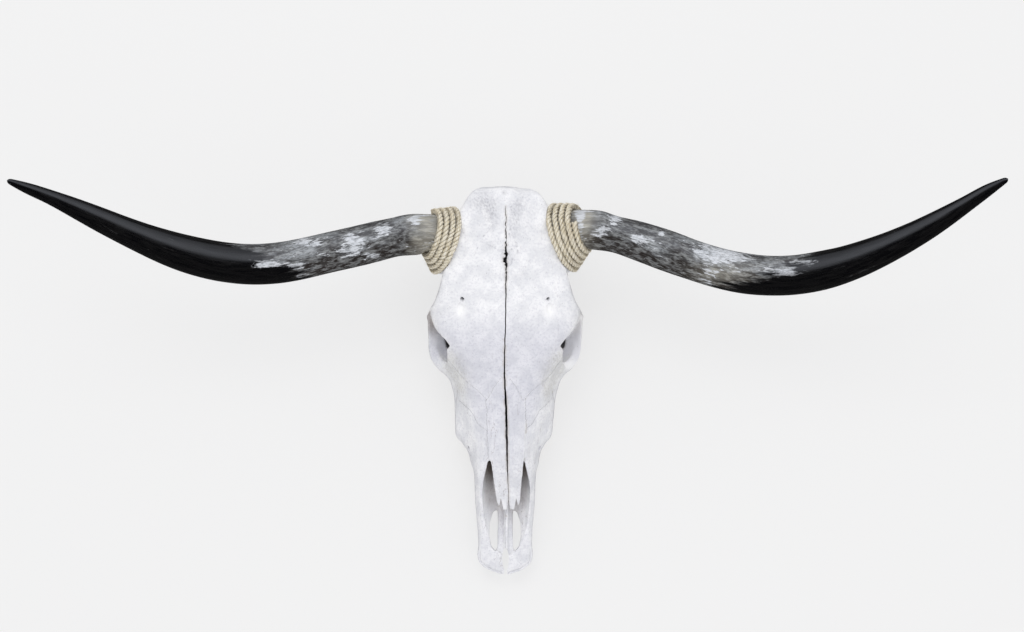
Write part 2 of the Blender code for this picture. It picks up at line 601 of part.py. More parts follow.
def horn(name, side, knots, collection):
    """A horn sheath: round all along, on one smooth S curve, from where it covers its core to the tip."""
    start = CORE_SHARE + SUTURE / math.dist(ROPE_FIRST[side][:3], ROPE_LAST[side][:3])
    rings = [binding_circle(side, share, HORN_SIDES) for share in (start, 0.78)]
    noseward = binding_ring(side, 1)[3]
    across, ahead, height, radius = spring_through(knots, HORN_STATIONS).T
    path = np.stack([side * across, -ahead, height], 1)
    along = np.gradient(path, axis=0)
    along /= np.linalg.norm(along, axis=1, keepdims=True)
    turn = np.arange(HORN_SIDES)[:, None] * 2 * math.pi / HORN_SIDES
    for middle, way, r in zip(path, along, radius):
        nose = noseward - way * np.dot(noseward, way)
        nose /= np.linalg.norm(nose)
        face = np.cross(nose, way) * side
        face *= np.sign(face[2])
        rings.append(middle + r * (np.cos(turn) * face + np.sin(turn) * nose))
    return loft(name, np.array(rings) * MM, collection)


def rope(name, side, collection, thickness=ROPE_THICKNESS):
    """The rope binding: one length wound round the horn base, each turn beside the last."""
    turns = ROPE_TURNS[side]
    steps = round(turns * ROPE_STEPS)
    curve = bpy.data.curves.new(name, "CURVE")
    curve.dimensions = "3D"
    curve.bevel_depth = thickness / 2 * MM
    curve.bevel_resolution = 1
    curve.use_fill_caps = True
    spline = curve.splines.new("POLY")
    spline.points.add(steps)
    for point, turn in zip(spline.points, np.linspace(turns, 0, steps + 1) + ROPE_STARTS[side]):
        point.co = (*rope_point(side, turn) * MM, 1)
    obj = bpy.data.objects.new(name, curve)
    collection.objects.link(obj)
    return as_mesh(obj)


def as_mesh(obj):
    """A curve made into a closed mesh, its caps joined on."""
    graph = bpy.context.evaluated_depsgraph_get()
    bm = bmesh.new()
    bm.from_mesh(bpy.data.meshes.new_from_object(obj.evaluated_get(graph)))
    bmesh.ops.remove_doubles(bm, verts=bm.verts, dist=0.00001)
    name, collection = obj.name, obj.users_collection[0]
    bpy.data.objects.remove(obj)
    return add_mesh(name, bm, collection)


def finish(name, colour, roughness, coat=0.0):
    material = bpy.data.materials.new(name)
    material.use_nodes = True
    shader = material.node_tree.nodes["Principled BSDF"]
    shader.inputs["Base Color"].default_value = (*colour, 1)
    shader.inputs["Roughness"].default_value = roughness
    shader.inputs["Coat Weight"].default_value = coat
    return material


def main():
    clear_scene()
    work = new_collection("work")
    part = new_collection("longhorn_steer_skull")
    bone_white = finish("bleached_bone", (0.86, 0.85, 0.87), 0.62)
    horn_dark = finish("polished_horn", (0.045, 0.042, 0.042), 0.22, 0.6)
    rope_tan = finish("sisal_rope", (0.60, 0.50, 0.33), 0.9)
    pieces = [(bone, bone_white) for bone in bones(work)]
    for side, hand, knots in ((1, "right", HORN_RIGHT), (-1, "left", HORN_LEFT)):
        sheath = horn("horn_" + hand, side, knots, work)
        for held in (pieces[0][0], sheath):
            cut(held, rope("rope_bed", side, work, ROPE_THICKNESS + 2 * ROPE_GAP), solver="MANIFOLD")
            largest_body(held)
        pieces.append((sheath, horn_dark))
        pieces.append((rope("rope_" + hand, side, work), rope_tan))

    lie = Matrix.Translation((0, 0, POLL_HEIGHT * MM)) @ Matrix.Rotation(FACE_SLOPE, 4, "X")
    corners = np.array([lie @ vert.co for obj, _ in pieces for vert in obj.data.vertices])
    middle = (corners.min(0) + corners.max(0)) / 2
    rest = bpy.data.objects.new("rest", None)
    part.objects.link(rest)
    rest.location = (-middle[0], -middle[1], POLL_HEIGHT * MM)
    rest.rotation_euler = (FACE_SLOPE, 0, 0)
    for obj, material in pieces:
        work.objects.unlink(obj)
        part.objects.link(obj)
        obj.parent = rest
        obj.data.materials.clear()
        obj.data.materials.append(material)
        if not obj.name.startswith("rope"):
            obj.data.shade_smooth()
            obj.data.set_sharp_from_angle(angle=math.radians(40))
    bpy.data.collections.remove(work)


main()
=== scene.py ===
"""Looks of a longhorn steer skull lying face up: bleached bone, polished horns and sisal round them."""

import math

import bmesh
import bpy
import numpy as np
from mathutils import Euler, Matrix, Vector
from mathutils.bvhtree import BVHTree
from mathutils.kdtree import KDTree


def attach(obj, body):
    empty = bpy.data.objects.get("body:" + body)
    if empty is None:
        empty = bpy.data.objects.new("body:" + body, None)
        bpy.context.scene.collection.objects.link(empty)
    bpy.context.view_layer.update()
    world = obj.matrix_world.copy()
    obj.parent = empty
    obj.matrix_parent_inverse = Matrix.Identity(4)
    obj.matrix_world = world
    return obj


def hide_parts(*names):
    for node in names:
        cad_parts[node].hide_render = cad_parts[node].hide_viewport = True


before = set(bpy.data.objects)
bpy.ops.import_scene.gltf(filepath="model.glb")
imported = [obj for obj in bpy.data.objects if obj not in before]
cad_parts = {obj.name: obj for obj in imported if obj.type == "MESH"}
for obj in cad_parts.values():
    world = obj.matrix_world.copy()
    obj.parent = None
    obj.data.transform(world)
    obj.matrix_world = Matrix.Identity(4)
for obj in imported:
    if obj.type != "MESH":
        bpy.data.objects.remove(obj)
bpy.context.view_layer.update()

# ======== How the skull lies
# A bare skull laid face up rests on its cheek teeth and on two prongs at the back of its base.  It is worked
# out in its own face frame, in mm: x to the right of the face, y from the nose to the poll, z out of the
# forehead, and "ahead" is the distance from the poll towards the nose.  LIE lays that frame on the table.
MM = 0.001
FACE_SLOPE = math.radians(11)
POLL_HEIGHT = 190
SKULL_AT = (-3.584, 240.629, POLL_HEIGHT)
LIE = Matrix.Translation(Vector(SKULL_AT) * MM) @ Matrix.Rotation(FACE_SLOPE, 4, "X")
SIDES = (1, -1)
HANDS = ((1, "right"), (-1, "left"))

bench = bpy.data.collections.new("bench")
bpy.context.scene.collection.children.link(bench)


def place(side, across, ahead, height):
    """A point of the face frame in metres, on the right (side 1) or the left (side -1)."""
    return Vector((side * across * MM, -ahead * MM, height * MM))


def floor_under(ahead):
    """Height of the table in the face frame, under a point this far ahead of the poll, in mm."""
    return (ahead * math.sin(FACE_SLOPE) - POLL_HEIGHT) / math.cos(FACE_SLOPE)


def lay_down(piece, slot, *nodes):
    """Puts a finished piece on the table, in place of the solids that it stands for."""
    bench.objects.unlink(piece)
    bpy.context.scene.collection.objects.link(piece)
    piece.data.transform(LIE)
    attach(piece, "root")
    if nodes:
        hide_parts(*nodes)


# ======== The mass of the skull
# The braincase, forehead, muzzle and upper jaw of a steer are one shell of bone.  Here they are one form
# through seven long rails on each side, with the knobs, bars and swellings that can be felt on it fused on.
# Rails run from the poll to the front of the jaw: (ahead, half width, height), with the forehead at zero.
CREST = ((0, 0, -24), (5, 0, -9), (16, 0, -1), (60, 0, 1), (120, 0, 1), (170, 0, 1), (215, 0, -1),
         (255, 0, -6), (345, 0, -7), (370, 0, -12), (400, 0, -30), (430, 0, -44), (460, 0, -54),
         (490, 0, -60), (510, 0, -65), (520, 0, -69))
BROW = ((0, 33, -28), (5, 41.5, -15), (16, 49, -8), (30, 57.5, -11), (69, 72, -14.5), (100, 78, -14.5),
        (125, 84, -16), (141, 88, -19), (156, 94, -25), (168, 98, -33), (188, 90, -21), (210, 75, -16),
        (240, 63, -20), (260, 55, -23), (322, 41, -26), (369, 34, -27), (400, 33, -37), (430, 31, -47),
        (460, 30, -54), (490, 31, -61), (508, 24, -66), (520, 6, -69))
EAVE = ((0, 42, -52), (16, 54, -44), (40, 61, -40), (80, 66, -34), (110, 72, -32), (150, 84, -42),
        (168, 94, -50), (190, 94, -44), (225, 85, -42), (260, 65, -45), (322, 54, -48), (345, 47, -47),
        (369, 41, -46), (400, 38, -51), (430, 36, -57), (460, 34.5, -61), (490, 35.5, -64), (508, 28, -67),
        (520, 6.5, -69.3))
FLANK = ((0, 54, -82), (16, 64, -80), (40, 60, -78), (80, 52, -64), (110, 48, -58), (150, 48, -60),
         (168, 66, -66), (188, 99, -67), (206, 103, -68), (225, 101, -69), (243, 90, -70), (251, 81, -71),
         (260, 74, -72), (290, 67.5, -74), (326, 67, -76), (341, 59, -76), (356, 49.5, -74),
         (369, 46, -71), (385, 41.5, -68), (417, 40, -66), (460, 37, -67), (480, 36.2, -68),
         (492, 38, -68), (502, 37, -68), (511, 28, -68.5), (517, 17, -69), (520, 7, -69.6))
JAW = ((0, 62, -108), (16, 78, -110), (34, 83, -110), (60, 74, -108), (80, 60, -106), (110, 48, -102),
       (150, 42, -98), (180, 50, -98), (206, 64, -101), (225, 65, -108), (245, 63, -115), (290, 61, -113),
       (322, 57, -109), (345, 50, -103), (369, 43, -97), (400, 34, -87), (430, 33, -80), (460, 32, -75),
       (490, 34, -71.5), (508, 28, -70.5), (520, 6.5, -70.3))
BASE = ((0, 40, -132), (16, 50, -142), (60, 44, -146), (110, 34, -136), (150, 26, -126), (190, 28, -116),
        (225, 37, -122), (290, 36, -120), (345, 30, -108), (400, 23, -93), (430, 21, -84), (460, 20, -78),
        (490, 20, -74), (508, 14, -72), (520, 4, -70.7))
KEEL = ((0, 0, -138), (16, 0, -147), (60, 0, -148), (110, 0, -138), (150, 0, -126), (190, 0, -112),
        (225, 0, -108), (260, 0, -107), (322, 0, -99), (369, 0, -89), (430, 0, -79), (490, 0, -71.5),
        (520, 0, -70.8))
RAILS = (CREST, BROW, EAVE, FLANK, JAW, BASE, KEEL)
FACE_LENGTH = 520
# How far the back of the skull's base lies ahead of the poll above it: (ahead, lean).
NAPE_LEAN = ((0, 44), (50, 20), (100, 0), (520, 0))
BODY_RINGS = 241
RING_SPANS = 8
BAR_SIDES = 20


def blend(t, a, b, span, bend_a, bend_b):
    """The value at a share t of a smooth curve from a to b, with its bends at the two ends."""
    return (a * (1 + 2 * t) * (1 - t) ** 2 + b * t * t * (3 - 2 * t)
            + span * (bend_a * t * (1 - t) ** 2 - bend_b * t * t * (1 - t)))


def smooth_through(knots, at):
    """Values at the distances `at`, on a smooth curve through (distance, value) knots, never beyond them."""
    x, y = np.array(knots, float).T
    step = np.diff(x)
    slope = np.diff(y) / step
    bend = np.concatenate([slope[:1], np.zeros(len(slope) - 1), slope[-1:]])
    both = slope[:-1] * slope[1:]
    inner = both > 0
    bend[1:-1][inner] = 2 * both[inner] / (slope[:-1] + slope[1:])[inner]
    i = np.clip(np.searchsorted(x, at, side="right") - 1, 0, len(step) - 1)
    t = (at - x[i]) / step[i]
    return blend(t, y[i], y[i + 1], step[i], bend[i], bend[i + 1])


def along_rail(rail, at):
    """Points (across, height) on a rail of (ahead, across, height) knots at the distances `at`."""
    knots = np.array(rail, float)
    return smooth_through(knots[:, :2], at), smooth_through(knots[:, ::2], at)


def unit(rows):
    return rows / np.linalg.norm(rows, axis=-1, keepdims=True)


def full_turn(count):
    """This many angles, evenly round a circle."""
    return np.arange(count) * 2 * math.pi / count


def round_ring(corners, spans):
    """Rings of points through rings of corners, on closed smooth curves: corners is (rings, corners, 3)."""
    chord = np.sqrt(np.linalg.norm(np.roll(corners, -1, 1) - corners, axis=2, keepdims=True))
    before = np.roll(chord, 1, 1)
    ahead = (np.roll(corners, -1, 1) - corners) / chord
    behind = np.roll(ahead, 1, 1)
    bend = (ahead * before + behind * chord) / (before + chord)
    after, bend_after = np.roll(corners, -1, 1), np.roll(bend, -1, 1)
    rows = [blend(t, corners, after, chord, bend, bend_after) for t in np.arange(spans) / spans]
    return np.stack(rows, 2).reshape(len(corners), -1, 3)


def add_mesh(name, bm):
    mesh = bpy.data.meshes.new(name)
    bmesh.ops.recalc_face_normals(bm, faces=bm.faces)
    if bm.calc_volume(signed=True) < 0:
        bmesh.ops.reverse_faces(bm, faces=bm.faces)
    bm.to_mesh(mesh)
    bm.free()
    obj = bpy.data.objects.new(name, mesh)
    bench.objects.link(obj)
    return obj


def wrap(bm, rings):
    """Adds a closed surface through rings of equally many points in mm, with flat ends."""
    rows = [[bm.verts.new(point) for point in ring] for ring in np.asarray(rings, float) * MM]
    for row, following in zip(rows, rows[1:]):
        for i in range(len(row)):
            j = (i + 1) % len(row)
            bm.faces.new((row[i], row[j], following[j], following[i]))
    bm.faces.new(rows[0])
    bm.faces.new(rows[-1])


def loft(name, rings):
    bm = bmesh.new()
    wrap(bm, rings)
    return add_mesh(name, bm)


def section(x, ahead, z):
    """A ring of points in mm square across the skull, at one distance ahead of the poll."""
    return np.stack(np.broadcast_arrays(x, -ahead, z), 1)


def knob(name, side, centre, radii, lean=(0, 0, 0)):
    """A swelling or a pit: a sphere stretched to three radii and turned, in mm and degrees."""
    bm = bmesh.new()
    bmesh.ops.create_uvsphere(bm, u_segments=48, v_segments=28, radius=MM)
    bmesh.ops.scale(bm, vec=radii, verts=bm.verts)
    turn = Euler([math.radians(angle) for angle in lean]).to_matrix()
    bmesh.ops.rotate(bm, matrix=turn, verts=bm.verts)
    bmesh.ops.translate(bm, vec=place(side, *centre), verts=bm.verts)
    return add_mesh(name, bm)


def strap(name, side, knots, steps=30):
    """A bar along knots of (across, ahead, height, half thickness, half depth), in mm."""
    order = np.arange(len(knots))
    at = np.linspace(0, order[-1], steps)
    across, ahead, height, thick, deep = (
        smooth_through(np.stack([order, column], 1), at) for column in np.array(knots, float).T)
    path = np.stack([side * across, -ahead, height], 1)
    along = unit(np.gradient(path, axis=0))
    level = unit(np.cross(along, (0.0, 0.0, 1.0)) + 0.3 * np.cross(along, (0.0, 1.0, 0.0)))
    up = np.cross(level, along)
    turn = full_turn(BAR_SIDES)
    return loft(name, [middle + np.outer(np.cos(turn) * t, o) + np.outer(np.sin(turn) * d, u)
                       for middle, o, u, t, d in zip(path, level, up, thick, deep)])


def block(name, low, high, soft=0):
    """A box between two corners in mm, with its edges rounded by `soft`."""
    low, high = np.minimum(low, high), np.maximum(low, high)
    bm = bmesh.new()
    bmesh.ops.create_cube(bm, size=1)
    bmesh.ops.scale(bm, vec=(high - low) * MM, verts=bm.verts)
    bmesh.ops.translate(bm, vec=(high + low) / 2 * MM, verts=bm.verts)
    if soft:
        bmesh.ops.bevel(bm, geom=list(bm.edges), offset=soft * MM, segments=3, affect="EDGES",
                        profile=0.5)
    return add_mesh(name, bm)


def join(name, objects):
    """One mesh holding all the given objects' meshes, which are removed."""
    bm = bmesh.new()
    for obj in objects:
        bm.from_mesh(obj.data)
        bpy.data.objects.remove(obj)
    return add_mesh(name, bm)


def apply(obj, kind, **settings):
    """Runs one modifier on an object and keeps its result as the object's mesh."""
    modifier = obj.modifiers.new(kind.lower(), kind)
    for key, value in settings.items():
        setattr(modifier, key, value)
    graph = bpy.context.evaluated_depsgraph_get()
    mesh = bpy.data.meshes.new_from_object(obj.evaluated_get(graph))
    obj.modifiers.clear()
    obj.data = mesh
    return obj


def fuse(obj, cell, rounds):
    """Makes one closed skin of overlapping forms, in cells of this many mm, and softens it."""
    apply(obj, "REMESH", mode="VOXEL", voxel_size=cell * MM)
    return apply(obj, "SMOOTH", factor=0.5, iterations=rounds)


def cut(obj, cutter, operation="DIFFERENCE"):
    apply(obj, "BOOLEAN", object=cutter, operation=operation, solver="MANIFOLD")
    bpy.data.objects.remove(cutter)
    return obj


def skull_body():
    """The main mass: one loft through the rails, from the nape to the front of the upper jaw."""
    denser_at_ends = 1 - np.cos(np.linspace(0, math.pi, BODY_RINGS))
    at = FACE_LENGTH * (0.5 * np.linspace(0, 1, BODY_RINGS) + 0.25 * denser_at_ends)
    half = []
    for rail in RAILS:
        across, height = along_rail(rail, at)
        half.append(np.stack([across, np.zeros_like(at), height], 1))
    crest, brow = half[0], half[1]
    roof = crest * 0.45 + brow * 0.55
    roof[:, 2] = crest[:, 2] * 0.72 + brow[:, 2] * 0.28
    half.insert(1, roof)
    corners = np.stack(half, 1)
    depth = (corners[:, :1, 2] - corners[:, :, 2]) / (corners[:, :1, 2] - corners[:, -1:, 2])
    corners[:, :, 1] = -(at[:, None] + smooth_through(NAPE_LEAN, at)[:, None] * depth)
    mirrored = corners[:, -2:0:-1] * (-1, 1, 1)
    return loft("skull_body", round_ring(np.concatenate([corners, mirrored], 1), RING_SPANS))


# The stem of bone that carries each horn follows the rope's turns, just inside them.  The first and the last
# turn: across, ahead, height, radius, and the degrees that it leans out at its nose side and in at its face.
BINDING_FIRST = {1: (74.1, 68.6, -43.5, 46.6, 22.3, 19.8), -1: (76.6, 72.1, -43, 45.6, 20.3, 20.7)}
BINDING_LAST = {1: (102.6, 55.6, -24.5, 29.3, 13.9, 20.4), -1: (99, 61.2, -26, 28.4, 13.3, 22.3)}
ROPE_TURNS = {1: 4.65, -1: 3.9}
ROPE_STARTS = {1: -0.05, -1: 0.7}
ROPE_THICKNESS = 8.0
ROPE_PLAY = 0.6
CORE_SHARE = 0.62


def binding_ring(side, share):
    """The circle that the rope follows at a share of its way out: its middle, radius and two axes."""
    across, ahead, height, radius, nose_lean, face_lean = (
        a + (b - a) * share for a, b in zip(BINDING_FIRST[side], BINDING_LAST[side]))
    middle = np.array((side * across, -ahead, height))
    out, lean = math.radians(nose_lean), math.radians(face_lean)
    noseward = np.array((side * math.sin(out), -math.cos(out), 0))
    outward = np.cross(noseward, (0, 0, -side))
    faceward = np.array((0, 0, math.cos(lean))) - outward * math.sin(lean)
    return middle, radius, faceward, noseward


def on_binding(side, turn):
    """The rope's middle line at a number of turns, counted from its outer end and from the face side."""
    middle, radius, faceward, noseward = binding_ring(side, 1 + (ROPE_STARTS[side] - turn) / ROPE_TURNS[side])
    outwards = math.cos(2 * math.pi * turn) * faceward + math.sin(2 * math.pi * turn) * noseward
    return middle + radius * outwards, outwards


def binding_circle(side, share, sides):
    """Points of the circle just inside that one, under the rope."""
    middle, radius, faceward, noseward = binding_ring(side, share)
    turn = full_turn(sides)[:, None]
    radius -= ROPE_THICKNESS / 2 + ROPE_PLAY
    return middle + radius * (np.cos(turn) * faceward + np.sin(turn) * noseward)


# Cheek teeth from the front: (ahead at the tooth's front edge, width, lobes), and the outer line they follow.
TEETH = ((368, 17, 1), (353, 18, 1), (336, 19, 1), (319, 23, 2), (295, 24, 2), (268, 24, 2))
TEETH_END = 239
TEETH_LINE = ((235, 58), (262, 60), (300, 58), (335, 51), (370, 44))
CROWN_HEIGHT = 15


def tooth_places():
    """Each cheek tooth of one side: its front and back edges, its outer face, its width and its lobes."""
    ends = [start for start, _, _ in TEETH][1:] + [TEETH_END]
    for (start, width, lobes), end in zip(TEETH, ends):
        outer = float(smooth_through(TEETH_LINE, np.array([(start + end) / 2]))[0])
        yield start, end, outer, width, lobes


forms = [skull_body(), knob("nape", 1, (0, 36, -84), (44, 26, 46), (-16, 0, 0))]
for side in SIDES:
    forms += [
        loft("pedicle", [binding_circle(side, share, 48)
                         for share in np.linspace(-0.3, CORE_SHARE, 20)]),
        knob("condyle", side, (29, 31, -140), (19, 17, 25), (0, side * -14, side * 18)),
        strap("jugular", side, ((66, 48, -92, 12, 13), (66, 52, -120, 11, 15), (61, 57, -150, 8, 13),
                                (57, 60, -188, 6, 9))),
        knob("mastoid", side, (72, 46, -100), (12, 17, 24)),
        knob("tubercle", side, (13, 84, -146), (10, 13, 9)),
        knob("bulla", side, (43, 96, -134), (11, 17, 19)),
        strap("ear_tube", side, ((52, 92, -92, 9, 9), (82, 86, -88, 9, 9)), steps=8),
        knob("jaw_joint", side, (66, 104, -90), (19, 12, 9)),
        strap("arch", side, ((70, 88, -90, 7, 8), (78, 106, -88, 4.5, 7), (83, 128, -82, 4, 8),
                             (90, 151, -75, 4, 8.5), (99, 175, -71, 5.2, 10), (98.3, 205, -74, 5, 9))),
        strap("orbit_bar", side, ((87, 158, -36, 6, 6), (93.5, 166, -46, 5, 7), (95.6, 171, -58, 4.6, 7),
                                  (97.8, 175, -72, 5, 9))),
        knob("orbit_corner", side, (90, 175, -58), (8, 9, 11)),
        knob("orbit_floor", side, (81, 197, -84), (19, 27, 13)),
        knob("temple_wall", side, (30, 120, -84), (33, 60, 52)),
        knob("cheek_swelling", side, (55, 321, -77), (12, 20, 11), (0, side * -20, side * 12)),
        strap("pterygoid", side, ((20, 172, -118, 3.5, 18), (21, 200, -126, 3, 17), (24, 238, -120, 5, 12))),
    ]
    for start, end, outer, width, _ in tooth_places():
        low = floor_under(start) + CROWN_HEIGHT
        forms.append(block("tooth_root", (side * (outer + 1), -start - 1, low),
                           (side * (outer - width - 1), -end + 1, low + 30), soft=4))
skull = fuse(join("skull", forms), 1.3, 16)

# ======== What is open in the skull
# Eye sockets, the hollows of the temples, the ear holes, the braincase, the throat, two long holes through
# the palate, the holes that let nerves and vessels out of the forehead and cheek, and the cave of the nose.
SOCKET_INSIDE = ((167.5, 103, -50), (176, 99, -64), (188, 93, -74), (196, 86.5, -76), (202, 82, -75),
                 (212, 78.5, -66), (224, 77, -56), (232, 77, -47), (241, 80, -52), (248, 87, -66))
SOCKET_RIM = ((167.5, 105, -58), (188, 104.6, -65), (206, 103.8, -66), (225, 101.5, -67), (243, 91, -68),
              (248, 88, -69))
SOCKET_SLIT = ((81.5, 200.5), (72.4, 212), (77.4, 217.5), (79.6, 212))
PALATE_HOLE = ((10, 432), (16, 435), (20.8, 450), (21.3, 467), (18.6, 481), (13, 488), (9.3, 480),
               (8.2, 455))
SOCKET_ROWS = 40
SOCKET_COLUMNS = 17
NOSE_MIDDLE = 1.4
NOSE_HALF = ((305, 8), (325, 20), (365, 24.8), (395, 31), (417, 33), (440, 32.2), (467, 27), (482, 19),
             (492, 9))
NOSE_ROOF = ((305, -36), (325, -22), (350, -14), (362, -10), (368, 20), (492, 20))
NOSE_FLOOR = ((305, -50), (325, -62), (365, -66), (417, -68), (470, -70), (492, -68))
NOSE_RINGS = 70
NOSE_SIDES = 48


def across_edges(edge):
    """Unit vectors square to the edges of a flat outline."""
    edge = unit(edge)
    return np.stack([edge[:, 1], -edge[:, 0]], 1)


def prism(name, outline, low, high, grow=0, lean=(0, 0)):
    """An upright solid over an outline of (x, ahead) corners in mm, grown sideways and up by `grow`.

    Its top and its foot are shifted ahead by the two numbers of `lean`."""
    ends = []
    for level, shift in ((low - grow, lean[1]), (high + grow, lean[0])):
        flat = (np.array(outline, float) + (0, shift)) * (1, -1)
        area = np.sum(flat[:, 0] * np.roll(flat[:, 1], -1) - flat[:, 1] * np.roll(flat[:, 0], -1))
        out = across_edges(np.roll(flat, -1, 0) - flat) * np.sign(area)
        corner = out + np.roll(out, 1, 0)
        corner /= np.maximum(np.sum(corner * out, 1, keepdims=True), 0.3)
        ends.append(np.column_stack([flat + corner * grow, np.full(len(flat), level)]))
    return loft(name, ends)


def sided(outline, side):
    return [(side * across, ahead) for across, ahead in outline]


def squared_off(wave, power):
    """A sine or cosine with its swings made squarer."""
    return np.sign(wave) * np.abs(wave) ** power


def socket(side):
    """What is open in an eye socket, seen from the face: its floor rises from under the brow to the rim."""
    at = np.linspace(SOCKET_RIM[0][0], SOCKET_RIM[-1][0], SOCKET_ROWS)
    share = np.linspace(0, 1.6, SOCKET_COLUMNS)
    rings = []
    for v, a, deep, b, rim in zip(at, *along_rail(SOCKET_INSIDE, at), *along_rail(SOCKET_RIM, at)):
        floor = rim + (deep - rim) * np.clip(1 - share, 0, 1) ** 1.35 - 14 * np.clip(share - 1, 0, 1)
        across = np.concatenate([a + (b - a + 0.5) * share, [130, a - 1.5]])
        rings.append(section(side * across, v, np.concatenate([floor, [30, 30]])))
    return loft("socket", rings)


gone = [
    knob("brain_opening", 1, (0, 34, -129), (19, 40, 19)),
    knob("throat", 1, (0, 205, -131), (16, 44, 30)),
]
for side in SIDES:
    gone += [
        socket(side),
        knob("eye_hollow", side, (74.1, 204.2, -52.3), (26.5, 29.3, 19.6), (0, side * 6, 0)),
        knob("eye_nerve", side, (50, 206, -56), (11, 10, 9)),
        prism("eye_slit", sided(SOCKET_SLIT, side), -80, 10),
        knob("temple_hollow", side, (72, 128, -62), (26, 27, 17), (0, side * 24, 0)),
        prism("palate_fissure", sided(PALATE_HOLE, side), -100, -50),
        strap("ear_hole", side, ((60, 90, -91, 4.5, 4.5), (95, 84, -87, 5, 5)), steps=8),
        strap("cheek_hole", side, ((40, 340, -58, 3, 4), (62, 366, -54, 4, 5)), steps=8),
        strap("brow_hole", side, ((53, 140, -24, 2.4, 2.6), (59, 157, 2, 3.6, 3)), steps=8),
        knob("brow_groove", side, (59.5, 163, -10), (4.6, 9, 4.0), (0, 0, side * 8)),
    ]
    bed = [on_binding(side, turn)[0] + (side * 1.5, 0, 5) for turn in np.linspace(3.72, 4.3, 12)]
    gone.append(strap("rope_bed", side, [(side * x, -y, z, 4.8, 9.5) for x, y, z in bed], steps=24))
cut(skull, fuse(join("hollows", gone), 0.9, 2))
at = np.linspace(NOSE_HALF[0][0], NOSE_HALF[-1][0], NOSE_RINGS)
turn = full_turn(NOSE_SIDES)
round_x, round_z = squared_off(np.cos(turn), 0.7), squared_off(np.sin(turn), 0.7)
half, roof, low = (smooth_through(line, at) for line in (NOSE_HALF, NOSE_ROOF, NOSE_FLOOR))
cut(skull, loft("nose_hollow", [
    section(NOSE_MIDDLE + w * round_x, v, (top + deep) / 2 + (top - deep) / 2 * round_z)
    for v, w, top, deep in zip(at, half, roof, low)]))

# ======== Nasal bones, bars and scrolls of the nose
# Two thin arched plates run out over the nose, side by side, and end in a notched tip each.  Inside lie the
# two bars of the palate and the thin scrolls that the breath ran along, broken off short as on an old skull.
# The seam between the two sides of the face drifts to the right along the nose: (ahead, across).
SEAM = ((20, 0.6), (60, 1.2), (120, 1.3), (180, 0.7), (230, -0.5), (250, -0.5), (300, 1.6), (375, 3.2),
        (434, 4.9), (446, 0.6), (600, 0.6))
NASAL_HALF = ((238, 4), (262, 14), (300, 24), (345, 24), (365, 21.4), (401, 17.5), (421, 15), (430, 8))
NASAL_THICK = 5
NASAL_NOTCH = ((10.2, 414), (13, 427), (13.4, 440), (6.6, 440), (7.6, 427))
LIP_SLIT = ((-1.5, 484), (-3.6, 491), (-3.9, 497), (-3.2, 507), (-1.2, 514), (-2, 530), (3.4, 530),
            (2.3, 514), (4.2, 508), (5, 497), (4.2, 490), (1.8, 484))
NASAL_SPLIT = 0.8
NASAL_RINGS = 90
NASAL_POINTS = 14


def from_seam(outline, side):
    """An outline whose (across, ahead) corners count from the seam, in the face frame."""
    across, ahead = np.array(outline, float).T
    return list(zip(smooth_through(SEAM, ahead) + side * across, ahead))


def nasal_roof(side):
    """One plate: an arched sheet of bone, thinner towards its outer edge."""
    at = np.linspace(NASAL_HALF[0][0], NASAL_HALF[-1][0], NASAL_RINGS)
    width = smooth_through(NASAL_HALF, at)
    rings = []
    for v, w, top, seam in zip(at, width, along_rail(CREST, at)[1], smooth_through(SEAM, at)):
        x = np.concatenate([np.linspace(NASAL_SPLIT, w, NASAL_POINTS),
                            np.linspace(w, NASAL_SPLIT, NASAL_POINTS)])
        z = top - 0.25 * w * (x / 24) ** 2
        z[NASAL_POINTS:] -= NASAL_THICK * np.clip(1.15 - 0.55 * x[NASAL_POINTS:] / w, 0.4, 1)
        rings.append(section(seam + side * x, v, z))
    return loft("nasal_roof", rings)


inner = []
for side in SIDES:
    inner += [
        nasal_roof(side),
        strap("palate_bar", side, ((5, 410, -68, 5.2, 6), (5.5, 450, -69, 5, 3), (6.5, 492, -69, 5, 3.5))),
        strap("scroll", side, ((15, 318, -40, 3, 10), (15, 356, -42, 2.6, 11), (14, 392, -55, 2, 7),
                               (13, 408, -64, 1.6, 4))),
    ]
inner.append(strap("ridge", 1, ((2.4, 400, -62, 3, 9), (1.6, 440, -62, 3, 6), (1, 484, -64, 3.2, 5))))
skull = fuse(join("skull", [skull] + inner), 1.2, 4)

# ======== The surface of old bone
# Bone that has lain in the weather is never smooth: broad soft hollows, low knobs, fine pores, and a grain
# that runs down the nose and jaws.  The skin of the mesh is moved along its normals by smooth random heights.
LIP_FROM = 478


def cloud(points, cell, seed=0):
    """Smooth random values from -1 to 1 over points in mm, in lumps about one cell across."""
    at = np.asarray(points) / cell + seed * 17.31
    low = np.floor(at).astype(np.int64)
    part = at - low
    part = part * part * (3 - 2 * part)
    total = np.zeros(len(at))
    for corner in np.ndindex(2, 2, 2):
        key = ((low + corner) * (73856093, 19349663, 83492791)).sum(1)
        key = ((key ^ (key >> 13)) * 1274126177) & 0xFFFFFFFF
        key = (key ^ (key >> 15)) & 0xFFFF
        total += np.prod(np.where(corner, part, 1 - part), 1) * (key / 32767.5 - 1)
    return total


def skin(mesh, kind="co"):
    """Places of a mesh's vertices in mm, or their normals."""
    rows = np.empty(len(mesh.vertices) * 3, np.float32)
    if kind == "co":
        mesh.vertices.foreach_get("co", rows)
        return rows.reshape(-1, 3).astype(float) / MM
    mesh.vertex_normals.foreach_get("vector", rows)
    return rows.reshape(-1, 3).astype(float)


def move_skin(mesh, places):
    mesh.vertices.foreach_set("co", (places * MM).astype(np.float32).ravel())
    mesh.update()


